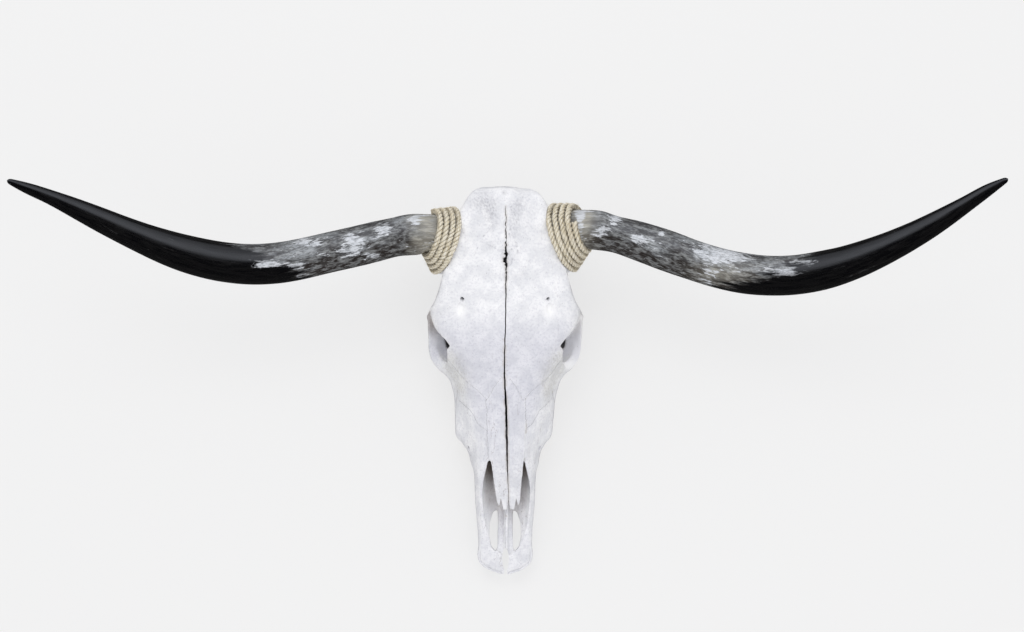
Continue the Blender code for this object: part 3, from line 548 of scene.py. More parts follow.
def ease(low, high, values):
    """0 below `low`, 1 above `high`, and a smooth step between them."""
    t = np.clip((values - low) / (high - low), 0, 1)
    return t * t * (3 - 2 * t)


def near(points, x, ahead, reach_across, reach_ahead=None):
    """1 at a place of the face and falling smoothly to 0 around it, seen square on."""
    far = ((points[:, 0] - x) / reach_across) ** 2
    far += ((points[:, 1] + ahead) / (reach_ahead or reach_across)) ** 2
    return np.exp(-far)


def lip_line(points):
    """1 on the line that runs round the front of the jaw, just inside its edge, and 0 away from it."""
    edge_at = np.arange(LIP_FROM, FACE_LENGTH, 0.4)
    edge = np.stack([along_rail(FLANK, edge_at)[0], edge_at], 1)
    share = np.zeros(len(points))
    front = np.flatnonzero(points[:, 1] < -LIP_FROM)
    flat = np.abs(points[front, :2])
    inset = np.min(np.linalg.norm(flat[:, None] - edge[None], axis=2), axis=1)
    share[front] = np.exp(-((inset - 4) / 0.9) ** 2) * ease(480, 495, flat[:, 1])
    return share


def cut_table_off(obj):
    """Cuts a piece flat where it would go through the table."""
    table = block("table", (-200, -700, -120), (200, 200, 0))
    table.data.transform(Matrix.Rotation(-FACE_SLOPE, 4, "X") @ Matrix.Translation((0, 0, -POLL_HEIGHT * MM)))
    return cut(obj, table)


# Small pits and pores that the face shows: (depth, x, ahead, radius).
PITS = ((1.6, 3.6, 93, 2.3), (1.6, -51, 108, 2.0), (1.3, 26, 140, 1.5), (1.4, 64, 137, 1.6),
        (1.4, 52, 179, 1.4), (1.0, 56, 181, 1.1), (1.2, 25, 212, 1.3), (1.7, -1, 9, 3.4),
        (0.9, -30, 176, 1.0), (0.8, -20, 96, 0.9), (0.8, 36, 74, 1.0), (0.9, -62, 196, 1.2),
        (0.9, 41, 250, 1.0))
points, normals = skin(skull.data), skin(skull.data, "normals")
ahead = -points[:, 1]
grain = np.stack([points[:, 0], points[:, 1] * 0.16, points[:, 2]], 1)
muzzle = ease(225, 300, ahead)
forehead = ease(0.2, 0.8, normals[:, 2]) * (1 - muzzle)
height = 0.55 * cloud(points, 30, 1) + 0.3 * cloud(points, 13, 2) + 0.12 * cloud(points, 5.5, 3)
height += 0.05 * cloud(points, 2.6, 4) + muzzle * 0.09 * cloud(grain, 2.4, 5)
height -= 0.22 * ease(0.45, 0.8, cloud(points, 4.0, 6)) * (0.4 + 0.6 * forehead)
for pit, *spot in PITS:
    height -= pit * near(points, *spot)
height += 1.6 * (near(points, -1, 9, 7) - near(points, -1, 9, 4.6))
for side in SIDES:
    height += 0.9 * near(points, side * 8, 6, 5) * ease(-30, -10, points[:, 2])
    height -= 1.2 * near(points, side * 30, 200, 22, 40) * forehead
height *= ease(-4, 9, points[:, 2] - floor_under(ahead))
height -= 1.7 * lip_line(points) * ease(0.2, 0.6, normals[:, 2])
points += normals * height[:, None]
points[:, 1] -= 2.2 * near(points, 28, 3, 12, 14)
points[:, 0] -= 3.6 * np.exp(-((ahead - 335) / 36) ** 2) * ease(18, 58, points[:, 0])
move_skin(skull.data, points)
cut(skull, prism("lip_slit", LIP_SLIT, -90, -40))
for side in SIDES:
    cut(skull, prism("nasal_notch", from_seam(NASAL_NOTCH, side), -54, 0))
cut_table_off(skull)
weathered = BVHTree.FromPolygons([v.co for v in skull.data.vertices],
                                 [p.vertices for p in skull.data.polygons])

# ======== The open seam of the face
# The two halves of an old skull draw apart as they dry.  A ragged crack starts below the poll, opens to a
# hole between the horns, runs down the forehead, and widens to a dark gap between the nasal bones.
# Along the crack: (ahead, width, depth).
CRACK = ((28, 0.5, 4), (45, 0.8, 5), (55, 0.9, 6), (67, 1.3, 7), (80, 1.6, 8), (88, 2.8, 9), (97, 5.4, 10),
         (104, 3.4, 9), (112, 2.3, 8), (120, 1.7, 8), (130, 1.6, 8), (180, 1.5, 8), (200, 1.6, 8),
         (225, 1.7, 9), (245, 2.0, 10), (263, 2.2, 13), (280, 2.8, 16), (305, 3.1, 18), (335, 2.9, 18),
         (360, 2.1, 14), (388, 1.0, 13), (400, 0.6, 12), (415, 0.6, 12), (432, 5, 12))


def on_line(at):
    """Points in mm on one straight line, to read clouds along it."""
    return np.stack([np.zeros_like(at), at, np.zeros_like(at)], 1)


at = np.arange(CRACK[0][0], CRACK[-1][0], 0.5)
line = on_line(at)
wide, deep = along_rail(CRACK, at)
ragged = 0.16 + 0.84 * ease(150, 105, at)
wander = smooth_through(SEAM, at) + 0.5 * cloud(line, 9, 11) + 0.9 * ragged * cloud(line, 3.4, 12)
left_lip = wander - wide / 2 * (1 + 0.95 * ragged * cloud(line, 2.1, 13))
right_lip = wander + wide / 2 * (1 + 0.95 * ragged * cloud(line, 1.8, 14))
rings = []
for v, a, b, d, top in zip(at, left_lip, right_lip, deep, along_rail(CREST, at)[1]):
    inset = (b - a) * 0.3
    rings.append(section((a, a, a + inset, b - inset, b, b), v, top + np.array((9, -0.6, -d, -d, -0.6, 9))))
cut(skull, loft("crack", rings))

# ======== The bones, parted along their sutures
# A steer's skull is many bones that meet in toothed seams: the cranium, and on each side a nasal, a lacrimal,
# a cheek bone, an upper jaw and the front jaw bone.  Each is taken off the rest with a thin wandering cut.
SUTURE = 0.24
SUTURE_REACH = 0.9
SUTURE_STEP = 0.8
FACE_LEAN = (8.7, -29.3)


def largest_body(obj):
    """Drops the slivers that a cut leaves, so that the object is one body."""
    mesh = obj.data
    count = len(mesh.vertices)
    pairs = np.empty(len(mesh.edges) * 2, np.int32)
    mesh.edges.foreach_get("vertices", pairs)
    pairs = pairs.reshape(-1, 2)
    body = np.arange(count)
    while True:
        lowest = np.minimum(body[pairs[:, 0]], body[pairs[:, 1]])
        before = body.copy()
        np.minimum.at(body, pairs[:, 0], lowest)
        np.minimum.at(body, pairs[:, 1], lowest)
        body = body[body]
        if np.array_equal(body, before):
            break
    keep = np.argmax(np.bincount(body))
    bm = bmesh.new()
    bm.from_mesh(mesh)
    bm.verts.ensure_lookup_table()
    bmesh.ops.delete(bm, geom=[bm.verts[i] for i in np.flatnonzero(body != keep)], context="VERTS")
    bm.to_mesh(mesh)
    bm.free()
    return obj


def toothed(outline, seed):
    """An outline with a suture's fine random teeth, where it crosses the skull."""
    rows = []
    corners = np.array(outline, float)
    for a, b in zip(corners, np.roll(corners, -1, 0)):
        crosses = min(abs(a[0]), abs(b[0])) < 108 and min(a[1], b[1]) < 530
        count = max(1, round(np.linalg.norm(b - a) / SUTURE_STEP)) if crosses else 1
        rows.append(a + (b - a) * np.arange(count)[:, None] / count)
    line = np.concatenate(rows)
    out = across_edges(np.roll(line, -1, 0) - np.roll(line, 1, 0))
    flat = np.column_stack([line, np.zeros(len(line))])
    shift = SUTURE_REACH * (0.9 * cloud(flat, 5.2, seed) + 0.5 * cloud(flat, 2.3, seed + 1))
    return line + out * shift[:, None]


def face_region(side, grow):
    """All ahead of the suture between forehead and face, with the cheek bone under the eye."""
    seam = [(x, v) for v, x in SEAM if v >= 300][::-1]
    line = [(-0.5, 246)] + sided(((13, 263), (24, 284), (37, 270), (50, 262), (62, 250), (72, 237), (92, 222),
                                  (140, 222), (140, 600)), side) + seam
    front = prism("face_region", toothed(line, 21), -170, 40, grow, FACE_LEAN)
    under = ((60, 240), (62, 226), (74, 202), (84, 180), (91, 163), (140, 158), (140, 240))
    return cut(front, prism("under_eye", toothed(sided(under, side), 23), -170, -56, grow), "UNION")


def nasal_region(side, grow):
    line = ((-30, 230), (20, 230), (26, 284), (25.5, 300), (26, 330), (25, 350), (23, 366), (26, 440),
            (-30, 440))
    region = prism("nasal_region", toothed(from_seam(line, side), 25), -70, 40, grow)
    at = np.linspace(225, 445, 23)
    rings = [section((-90, 90, 90, -90), v, np.array((w, w, 60, 60)) - grow)
             for v, w in zip(at, along_rail(CREST, at)[1] - NASAL_THICK - 4)]
    return cut(region, loft("over_nose", rings), "INTERSECT")


def tear_region(side, grow):
    line = ((20, 240), (22, 284), (22, 325), (36, 315), (46, 297), (59, 286), (72, 278), (110, 262),
            (110, 215), (50, 215))
    return prism("tear_region", toothed(sided(line, side), 27), -50, 40, grow)


def cheek_bone_region(side, grow):
    line = ((57, 150), (57, 226), (61, 262), (67, 294), (120, 294), (120, 150))
    return prism("cheek_bone_region", toothed(sided(line, side), 29), -99, -50, grow)


def front_jaw_region(side, grow):
    """The bone at the tip of the upper jaw: its seam slants back as it climbs beside the nose."""
    climb = np.linspace(0, 1, 90)
    seam = np.stack([438 - 72 * climb, -100 + 70 * climb], 1)
    seam[1:-1, 0] += 0.8 * cloud(on_line(seam[1:-1, 0] + side * 999), 3.4, 31) - grow
    outline = [tuple(row) for row in seam[::-1]] + [(560, -100), (560, 0), (366, 0)]
    return loft("front_jaw_region", [[(side * x, -v, z) for v, z in outline] for x in (-20, 80)])


def carve(rest, name, region, side):
    """Takes one bone off the rest along a suture, and leaves half of the gap on either side of it."""
    bone = bpy.data.objects.new(name, rest.data.copy())
    bench.objects.link(bone)
    cut(bone, region(side, -SUTURE / 2), "INTERSECT")
    cut(rest, region(side, SUTURE / 2))
    return largest_body(bone)


bones = {}
for side, hand in HANDS:
    face = carve(skull, "maxilla_" + hand, face_region, side)
    for name, region in (("nasal_", nasal_region), ("zygomatic_", cheek_bone_region),
                         ("lacrimal_", tear_region), ("premaxilla_", front_jaw_region)):
        bones[name + hand] = carve(face, name + hand, region, side)
    bones["maxilla_" + hand] = largest_body(face)
bones["cranium"] = largest_body(skull)

# ======== Bleached bone
# Sun and weather have bleached the bone almost white.  It keeps a cold grey mottling between the horns, tan
# stains in front of the eyes and brown in its cracks and sutures; open pores pepper it.  Painted shade
# darkens the deep insides of cracks, holes, eye sockets and nose, a line round the jaw, the widest edge of
# the skull and the faces that look up, and painted light brightens a few pale places.


def put(tree, kind, values=(), **settings):
    """Adds a shader node.  `values` go to its sockets: another socket is linked, anything else is set."""
    made = tree.nodes.new("ShaderNode" + kind)
    for key, value in settings.items():
        setattr(made, key, value)
    for key, value in dict(values).items():
        if isinstance(value, bpy.types.NodeSocket):
            tree.links.new(value, made.inputs[key])
        else:
            made.inputs[key].default_value = value
    return made


def reckon(tree, operation, *terms):
    return put(tree, "Math", dict(enumerate(terms)), operation=operation).outputs[0]


def times(tree, value, share):
    return reckon(tree, "MULTIPLY", value, share)


def scaled(tree, value, slope, start):
    """A slope times the value, from where it starts."""
    return reckon(tree, "MULTIPLY_ADD", value, slope, start)


def stretch(tree, value, low, high, out_low=0.0, out_high=1.0):
    values = {0: value, 1: low, 2: high, 3: out_low, 4: out_high}
    return put(tree, "MapRange", values, interpolation_type="SMOOTHSTEP").outputs[0]


def tinted(tree, colour, *layers):
    """Lays tints over a colour, in turn: (share, colour), with a blend type where it isn't MIX."""
    for share, over, *kind in layers:
        colour = put(tree, "Mix", {0: share, 6: colour, 7: over}, data_type="RGBA",
                     blend_type=kind[0] if kind else "MIX").outputs[2]
    return colour


def rgb(red, green, blue):
    """A colour from its sRGB numbers, 0 to 255."""
    parts = [c / 255 for c in (red, green, blue)]
    return (*[p / 12.92 if p <= 0.04045 else ((p + 0.055) / 1.055) ** 2.4 for p in parts], 1)


def new_group(name, **values):
    """A group that takes a Vector and these values and gives a Mask and a Height: its tree and its ends."""
    tree = bpy.data.node_groups.new(name, "ShaderNodeTree")
    tree.interface.new_socket("Vector", in_out="INPUT", socket_type="NodeSocketVector")
    for label, value in values.items():
        tree.interface.new_socket(label, in_out="INPUT", socket_type="NodeSocketFloat").default_value = value
    for label in ("Mask", "Height"):
        tree.interface.new_socket(label, in_out="OUTPUT", socket_type="NodeSocketFloat")
    return tree, tree.nodes.new("NodeGroupInput").outputs, tree.nodes.new("NodeGroupOutput").inputs


def new_material(name, values):
    material = bpy.data.materials.new(name)
    material.use_nodes = True
    shader = material.node_tree.nodes["Principled BSDF"]
    for key, value in values.items():
        shader.inputs[key].default_value = value
    return material, material.node_tree, shader


# Pores and specks: tiny dark dots in random places, with the dents that they make.
pores, came, went = new_group("pores", Scale=400, Share=0.5)
cells = put(pores, "TexVoronoi", {"Vector": came["Vector"], "Scale": came["Scale"]})
chosen = stretch(pores, put(pores, "SeparateColor", {0: cells.outputs["Color"]}).outputs[0],
                 reckon(pores, "SUBTRACT", 1.0, came["Share"]), 1.0)
dot = times(pores, stretch(pores, cells.outputs["Distance"], 0.32, 0.1), chosen)
pores.links.new(dot, went["Mask"])
pores.links.new(reckon(pores, "SUBTRACT", 1.0, dot), went["Height"])

# Mottling: soft clouds, drawn out along one axis as much as the vector that comes in is.
mottle, came, went = new_group("mottle", Scale=60, Low=0.4, High=0.65)
broad = put(mottle, "TexNoise", {"Vector": came["Vector"], "Scale": came["Scale"], "Detail": 5.0,
                                 "Roughness": 0.6, "Distortion": 0.3}).outputs[0]
mottle.links.new(stretch(mottle, broad, came["Low"], came["High"]), went["Mask"])
mottle.links.new(broad, went["Height"])

# Hairline cracks: thin dark lines where a slow cloud is level, broken up by a second one.
hairlines, came, went = new_group("hairlines", Scale=40, Width=0.012, Share=0.5)
field = put(hairlines, "TexNoise", {"Vector": came["Vector"], "Scale": came["Scale"], "Detail": 3.0,
                                    "Roughness": 0.5}).outputs[0]
level = reckon(hairlines, "ABSOLUTE", reckon(hairlines, "SUBTRACT", field, 0.5))
where = put(hairlines, "TexNoise", {"Vector": came["Vector"], "Scale": times(hairlines, came["Scale"], 0.7),
                                    "Detail": 1.0}).outputs[0]
kept = stretch(hairlines, where, reckon(hairlines, "SUBTRACT", 1.0, came["Share"]),
               reckon(hairlines, "SUBTRACT", 1.12, came["Share"]))
line = times(hairlines, stretch(hairlines, level, came["Width"], 0.0), kept)
hairlines.links.new(line, went["Mask"])
hairlines.links.new(reckon(hairlines, "SUBTRACT", 1.0, line), went["Height"])


def use(tree, group, outlet, **values):
    """Places a node group with its own values and gives one of its outputs."""
    return put(tree, "Group", values, node_tree=group).outputs[outlet]


def blotches(tree, where, scale, low=0.4, high=0.65):
    """The clouds of the mottle as a mask, from 0 at the low level to 1 at the high one."""
    return use(tree, mottle, "Mask", Vector=where, Scale=scale, Low=low, High=high)


def billows(tree, where, scale):
    """The clouds of the mottle as a height."""
    return use(tree, mottle, "Height", Vector=where, Scale=scale)


def face_place(tree):
    """Places in the face frame, in metres, so that textures lie on the bone as it grew."""
    back = LIE.inverted()
    return put(tree, "Mapping", {"Vector": put(tree, "TexCoord").outputs["Object"],
                                 "Location": back.to_translation(), "Rotation": back.to_euler()}).outputs[0]


def drawn_out(tree, vector, scale):
    return put(tree, "Mapping", {"Vector": vector, "Scale": scale}).outputs[0]


def channels(tree, name):
    """The four masks that are painted on a mesh under one name."""
    stored = put(tree, "Attribute", attribute_name=name).outputs
    return [*put(tree, "SeparateColor", {0: stored["Color"]}).outputs, stored["Alpha"]]


def bumped(tree, shader, *layers):
    """Chains bumps of (height, strength, distance in mm) into the shader's normal."""
    normal = None
    for height, strength, distance in layers:
        values = {"Height": height, "Strength": strength, "Distance": distance * MM}
        if normal:
            values["Normal"] = normal
        normal = put(tree, "Bump", values).outputs[0]
    tree.links.new(normal, shader.inputs["Normal"])


bone_white, tree, shader = new_material("bleached_bone", {"Roughness": 0.55, "Specular IOR Level": 0.35})
here = face_place(tree)
lengthwise = drawn_out(tree, here, (1, 0.13, 1))
slanted = put(tree, "Mapping", {"Vector": here, "Rotation": (0, 0, math.radians(20)), "Scale": (1, 1.5, 1)},
              vector_type="TEXTURE").outputs[0]
tan_mark, grey_stain_and_shade, hollow_shade, painted_light_mark = channels(tree, "marks")
seam_mark, deep_shade, along_nose, painted_shade_on_top = channels(tree, "wear_and_shade")
cloudy = blotches(tree, here, 120, 0.36, 0.62)
smoky = blotches(tree, slanted, 420, 0.3, 0.9)
streaks = times(tree, blotches(tree, lengthwise, 210, 0.5, 0.74), along_nose)
specks = use(tree, pores, "Mask", Vector=here, Scale=330, Share=0.16)
splits = use(tree, hairlines, "Mask", Vector=lengthwise, Scale=95, Width=0.01, Share=0.5)
colour = tinted(
    tree, rgb(229, 230, 233),
    (blotches(tree, here, 52, 0.33, 0.7), rgb(248, 248, 249)),
    (times(tree, blotches(tree, here, 330, 0.45, 0.72), 0.6), rgb(211, 211, 218)),
    (times(tree, streaks, 0.35), rgb(206, 205, 212)),
    # grey stains, with painted shade along the jaw's groove and along the outline
    (times(tree, grey_stain_and_shade, scaled(tree, smoky, 0.8, 0.1)), rgb(140, 140, 149)),
    (times(tree, tan_mark, scaled(tree, smoky, 0.5, 0.12)), rgb(178, 175, 160)),
    # painted light: highlights below the brow holes and on the socket floor
    (painted_light_mark, rgb(251, 251, 251)),
    # painted shade on faces that look up
    (painted_shade_on_top, rgb(231, 231, 236), "MULTIPLY"),
    (times(tree, specks, 0.45), rgb(150, 145, 150)),
    (times(tree, splits, scaled(tree, along_nose, 0.4, 0.12)), rgb(140, 130, 128)),
    (times(tree, seam_mark, times(tree, blotches(tree, here, 85, 0.3, 0.6), 0.5)), rgb(170, 160, 146)),
    # painted shade in the hollows, warm brown
    (times(tree, hollow_shade, scaled(tree, cloudy, 0.25, 0.75)), rgb(124, 105, 89)),
    # painted shade, near black, deep in cracks and holes
    (deep_shade, rgb(40, 36, 35)))
tree.links.new(colour, shader.inputs["Base Color"])
tree.links.new(scaled(tree, cloudy, 0.12, 0.5), shader.inputs["Roughness"])
bumped(tree, shader,
       (billows(tree, here, 240), 0.5, 0.5),
       (billows(tree, lengthwise, 520), times(tree, along_nose, 0.5), 0.35),
       (use(tree, pores, "Height", Vector=here, Scale=330, Share=0.16), 0.6, 0.3),
       (billows(tree, here, 1100), 0.35, 0.12))

# Tan stains on either side of the face and grey ones: (strength, x, ahead, reach across, reach ahead).
TAN_STAINS = ((1.5, 72, 236, 13, 18), (1.3, 60, 258, 13, 20), (0.5, 98, 190, 10, 26))
GREY_STAINS = ((0.75, -30, 20, 14, 13), (0.8, -17, 38, 9, 18), (0.75, 12, 40, 9, 20), (0.4, 22, 22, 10, 14),
               (0.5, -20, 80, 9, 6), (0.4, 13, 74, 5, 22), (0.25, 0, 118, 50, 9), (0.8, 1, 94, 8, 13),
               (0.25, -35, 40, 18, 40), (0.25, 30, 45, 16, 36), (0.9, -1, 9, 3.6, 3.6))
# Fine dark scratches and side cracks below the poll: (start, end, half width), with (x, ahead) at each end.
SCRATCHES = (((-15.8, 52.6), (-28.5, 67.5), 0.9), ((-41.4, 93.5), (-35.5, 81.5), 0.8),
             ((-33, 21), (-29, 27), 1.2), ((13.5, 66), (17.5, 93), 0.9), ((-19, 33), (-11, 52), 1.0),
             ((8, 28), (7.5, 60), 0.9), ((5, 60), (8.5, 84), 0.8), ((-21, 79), (-13, 83), 0.8),
             ((24, 98), (40, 103), 0.8), ((1.5, 84), (-5, 91), 0.7), ((3, 80), (7.5, 76), 0.7),
             ((5, 92), (9.5, 97), 0.8), ((9.5, 97), (8, 104), 0.8), ((8, 104), (3, 107), 0.8))
BRINK_STEP = 2
BRINK_STEPS = 300
BONE_SHARP_ABOVE = 42


def spots(points, rows, side=1):
    """The sum of some stains, on the right (side 1) as they are or mirrored to the left (side -1)."""
    return sum(strength * near(points, side * across, *rest) for strength, across, *rest in rows)


def scratch(points, start, end, width):
    """1 on a short line between two (x, ahead) places of the face, broken up, and 0 away from it."""
    a, b = np.array(start, float), np.array(end, float)
    flat = points[:, :2] * (1, -1) - a
    share = np.clip(flat @ (b - a) / ((b - a) @ (b - a)), 0, 1)
    off = np.linalg.norm(flat - share[:, None] * (b - a), axis=1) / width
    return np.exp(-off ** 2) * ease(-0.5, 0.4, cloud(points, 3.1, 35))


def band(values, rises, full, ebbs, gone):
    """1 between `full` and `ebbs`, falling smoothly to 0 at `rises` and `gone`."""
    return ease(rises, full, values) * ease(gone, ebbs, values)


def bell(values, middle, reach):
    return np.exp(-((values - middle) / reach) ** 2)


def along_face(points):
    """The side of the face and the step along it that each point is in."""
    steps = np.clip(-points[:, 1] / BRINK_STEP + 20, 0, BRINK_STEPS - 1).astype(int)
    return (points[:, 0] < 0).astype(int), steps


def paint(mesh, name, *masks):
    """Stores up to four masks, from 0 to 1 at each vertex, for the material to read."""
    values = np.ones((len(mesh.vertices), 4), np.float32)
    for i, mask in enumerate(masks):
        values[:, i] = np.clip(mask, 0, 1)
    mesh.attributes.new(name, "FLOAT_COLOR", "POINT").data.foreach_set("color", values.ravel())


def dress(piece, material, sharp_above=None):
    """Gives a piece its one material and smooth shading, with edges above an angle in degrees left sharp."""
    piece.data.materials.clear()
    piece.data.materials.append(material)
    piece.data.shade_smooth()
    if sharp_above:
        piece.data.set_sharp_from_angle(angle=math.radians(sharp_above))


def to_nearest_wall(mesh, depth):
    """How far each vertex is from the walls of cuts, in mm; a vertex of a wall itself counts as far away."""
    walls = np.flatnonzero(depth > 0.2)
    if not len(walls):
        return 99 + depth
    found = KDTree(len(walls))
    for i in walls:
        found.insert(mesh.vertices[i].co, int(i))
    found.balance()
    return np.array([found.find(v.co)[2] or 1 for v in mesh.vertices]) / MM


brink_at = np.zeros((2, BRINK_STEPS))
for bone in bones.values():
    points = skin(bone.data)
    np.maximum.at(brink_at, along_face(points), np.abs(points[:, 0]))
for name, bone in bones.items():
    mesh = bone.data
    points, upward = skin(mesh), skin(mesh, "normals")[:, 2]
    ahead, height, out = -points[:, 1], points[:, 2], np.abs(points[:, 0])
    depth = np.array([weathered.find_nearest(v.co)[3] for v in mesh.vertices]) / MM
    tan = 1.2 * near(points, 55, 266, 4, 14) + sum(spots(points, TAN_STAINS, side) for side in SIDES)
    grey = spots(points, GREY_STAINS) + sum(1.1 * scratch(points, *line) for line in SCRATCHES)
    # Painted shade: a dark line along the widest edge of the face, where the outline lies, and on the sides
    # by the poll.
    painted_outline_shade = np.maximum(ease(1.7, 0.2, brink_at[along_face(points)] - out),
                       ease(5, 1, ahead) * ease(0.5, 0.2, upward)) * ease(-100, -90, height)
    # Painted shade inside the eye socket: on its upper end, along its outer rim, in its dark corner, and in
    # the hole for the nerve.
    socket_walls = band(height, -104, -92, -52, -40) * band(ahead, 164, 168, 178, 206) * ease(56, 66, out)
    socket_walls *= np.where(points[:, 0] < 0, 0.95, 0.3)
    rim = ease(0.45, 0.1, upward) * ease(82, 88, out)
    rim *= band(ahead, 172, 184, 240, 262) * band(height, -84, -78, -66, -60)
    corner = bell(ahead, 210, 8) * band(out, 60, 68, 80.5, 83) * ease(-33, -41, height)
    corner *= np.maximum(ease(0.5, 0.2, upward), ease(-70, -74, height))
    nerve = 0.7 * bell(ahead, 206, 10) * band(out, 36, 42, 52, 62) * band(height, -70, -64, -46, -40)
    # Painted shade in the two holes of the brow.
    brow_holes = sum(near(points, side * 56, 149, 6) for side in SIDES) * ease(-12.5, -16, height)
    # Painted light: a painted highlight below the two holes of the brow, and on the floor of the socket that
    # faces the light.
    bright = 1.4 * sum(near(points, side * 58.5, 165.5, 7, 10.5) for side in SIDES) * ease(-30, -12, height)
    bright += (0.9 * ease(66, 76, points[:, 0]) * band(height, -104, -92, -54, -42)
               * band(ahead, 166, 172, 236, 250))
    # Painted shade inside the nose, browner the deeper it goes.
    top = along_rail(CREST, np.clip(ahead, 0, FACE_LENGTH))[1]
    nose = ease(10, 26, top - height) * (0.36 + 0.64 * ease(400, 366, ahead))
    nose *= band(ahead, 320, 350, 470, 500) * ease(34, 26, np.abs(points[:, 0] - NOSE_MIDDLE))
    nose *= ease(-82, -76, height)
    paint(mesh, "marks", tan * ease(-75, -40, height),
          # Grey stains and scratches, painted shade along the groove round the front of the jaw, and the
          # painted outline shade.
          grey * ease(-25, -8, height) + 0.5 * lip_line(points) + painted_outline_shade,
          # Painted shade in the socket, the nose, under the skull and along the socket's rim, all in one
          # mask.
          np.maximum.reduce([0.62 * socket_walls, nose, 0.25 * ease(-100, -125, height), 0.3 * rim]), bright)
    # Brown beside the walls of cuts; painted shade, near black, deep in cracks, holes and the socket's
    # corner; where the grain of the nose runs; and painted shade, a little blue, on faces that look up, most
    # from between the eyes down.
    paint(mesh, "wear_and_shade", ease(2.6, 0.3, to_nearest_wall(mesh, depth)),
          np.maximum(ease(0.15, 1.2, depth), 0.85 * np.maximum.reduce([corner, nerve, brow_holes])),
          ease(235, 300, ahead),
          (0.1 + 0.9 * ease(150, 215, ahead)) * (1 - 0.65 * ease(280, 420, ahead)) * ease(0.5, 0.95, upward))
    dress(bone, bone_white, BONE_SHARP_ABOVE)
    bone.name = "bone_" + name
    lay_down(bone, "bone", name)

# ======== Cheek teeth
# Six grinding teeth stand in each upper jaw: high square crowns of ivory enamel and brown dentine, ribbed on
# the cheek side and lobed on the tongue side, worn flat, with crescents of enamel open on the chewing face.
TOOTH_GAP = 1.0
TOOTH_SIDES = 80
TOOTH_RINGS = 18
TOOTH_HEIGHT = 34
TOOTH_SHARP_ABOVE = 38


def tooth(side, start, end, outer, width, lobes):
    middle, half = (start + end) / 2, (start - end - TOOTH_GAP) / 2
    turn = full_turn(TOOTH_SIDES)
    along, inward = squared_off(np.cos(turn), 0.5), squared_off(np.sin(turn), 0.55)
    share = np.abs(np.cos(math.pi * lobes * (along + 1) / 2))
    inward *= np.where(inward > 0, 1 - 0.16 * share ** 4, 1 - 0.13 * (1 - share ** 1.5))
    foot = floor_under(middle) - 3
    rings = []
    for rise in np.linspace(0, TOOTH_HEIGHT, TOOTH_RINGS):
        lean = 1 - 0.05 * abs(rise - 12) / 12
        where = np.stack([along * 9 + start, inward * 9 + side * 40, np.full(TOOTH_SIDES, rise)], 1)
        wobble = 0.25 * cloud(where, 3, 41)
        rings.append(np.stack([side * (outer - width / 2 - inward * (width / 2 * lean + wobble)),
                               -middle + along * (half * lean + wobble),
                               np.full(TOOTH_SIDES, foot + rise)], 1))
    return loft("tooth", rings)


def crescents(side, start, end, outer, width, lobes):
    """The open cups of enamel on a chewing face, one to each lobe."""
    made = []
    for lobe in range(lobes):
        span = (start - end) / lobes
        middle = start - span * (lobe + 0.5)
        sweep = np.linspace(-1.2, 1.2, 11)
        outline = [(outer - width * 0.42 - math.cos(a) * width * bulge, middle + math.sin(a) * span * reach)
                   for angles, bulge, reach in ((sweep, 0.2, 0.3), (sweep[::-1], 0.06, 0.26)) for a in angles]
        low = floor_under(middle)
        made.append(prism("crescent", sided(outline, side), low - 6, low + 2.6))
    return made


ivory, tree, shader = new_material("tooth_enamel", {"Roughness": 0.35, "Specular IOR Level": 0.5})
here = face_place(tree)
upright = drawn_out(tree, here, (1, 1, 0.12))
face_mark, cup_mark, root_mark, _ = channels(tree, "worn")
colour = tinted(
    tree, rgb(226, 217, 196),
    (blotches(tree, upright, 260, 0.4, 0.66), rgb(186, 168, 134)),
    (use(tree, hairlines, "Mask", Vector=upright, Scale=220, Width=0.02, Share=0.6), rgb(96, 76, 56)),
    (times(tree, face_mark, blotches(tree, here, 420, 0.4, 0.6)), rgb(128, 104, 74)),
    (cup_mark, rgb(62, 48, 36)),
    (root_mark, rgb(214, 208, 198)))
tree.links.new(colour, shader.inputs["Base Color"])
bumped(tree, shader, (billows(tree, upright, 420), 0.6, 0.5),
       (use(tree, pores, "Height", Vector=here, Scale=500, Share=0.2), 0.4, 0.2))
for side, hand in HANDS:
    rows = list(tooth_places())
    teeth = join("teeth", [tooth(side, *row) for row in rows])
    cut_table_off(teeth)
    cut(teeth, join("cups", [cup for row in rows for cup in crescents(side, *row)]))
    points, normals = skin(teeth.data), skin(teeth.data, "normals")
    rise = points[:, 2] - floor_under(-points[:, 1])
    facing = ease(0.6, 0.9, -normals @ (0, -math.sin(FACE_SLOPE), math.cos(FACE_SLOPE)))
    paint(teeth.data, "worn", facing * ease(1.5, 0.3, rise), facing * band(rise, 0.3, 2.0, 2.6, 4),
          ease(11, 15, rise))
    dress(teeth, ivory, TOOTH_SHARP_ABOVE)
    teeth.name = "cheek_teeth_" + hand
    lay_down(teeth, "bone")

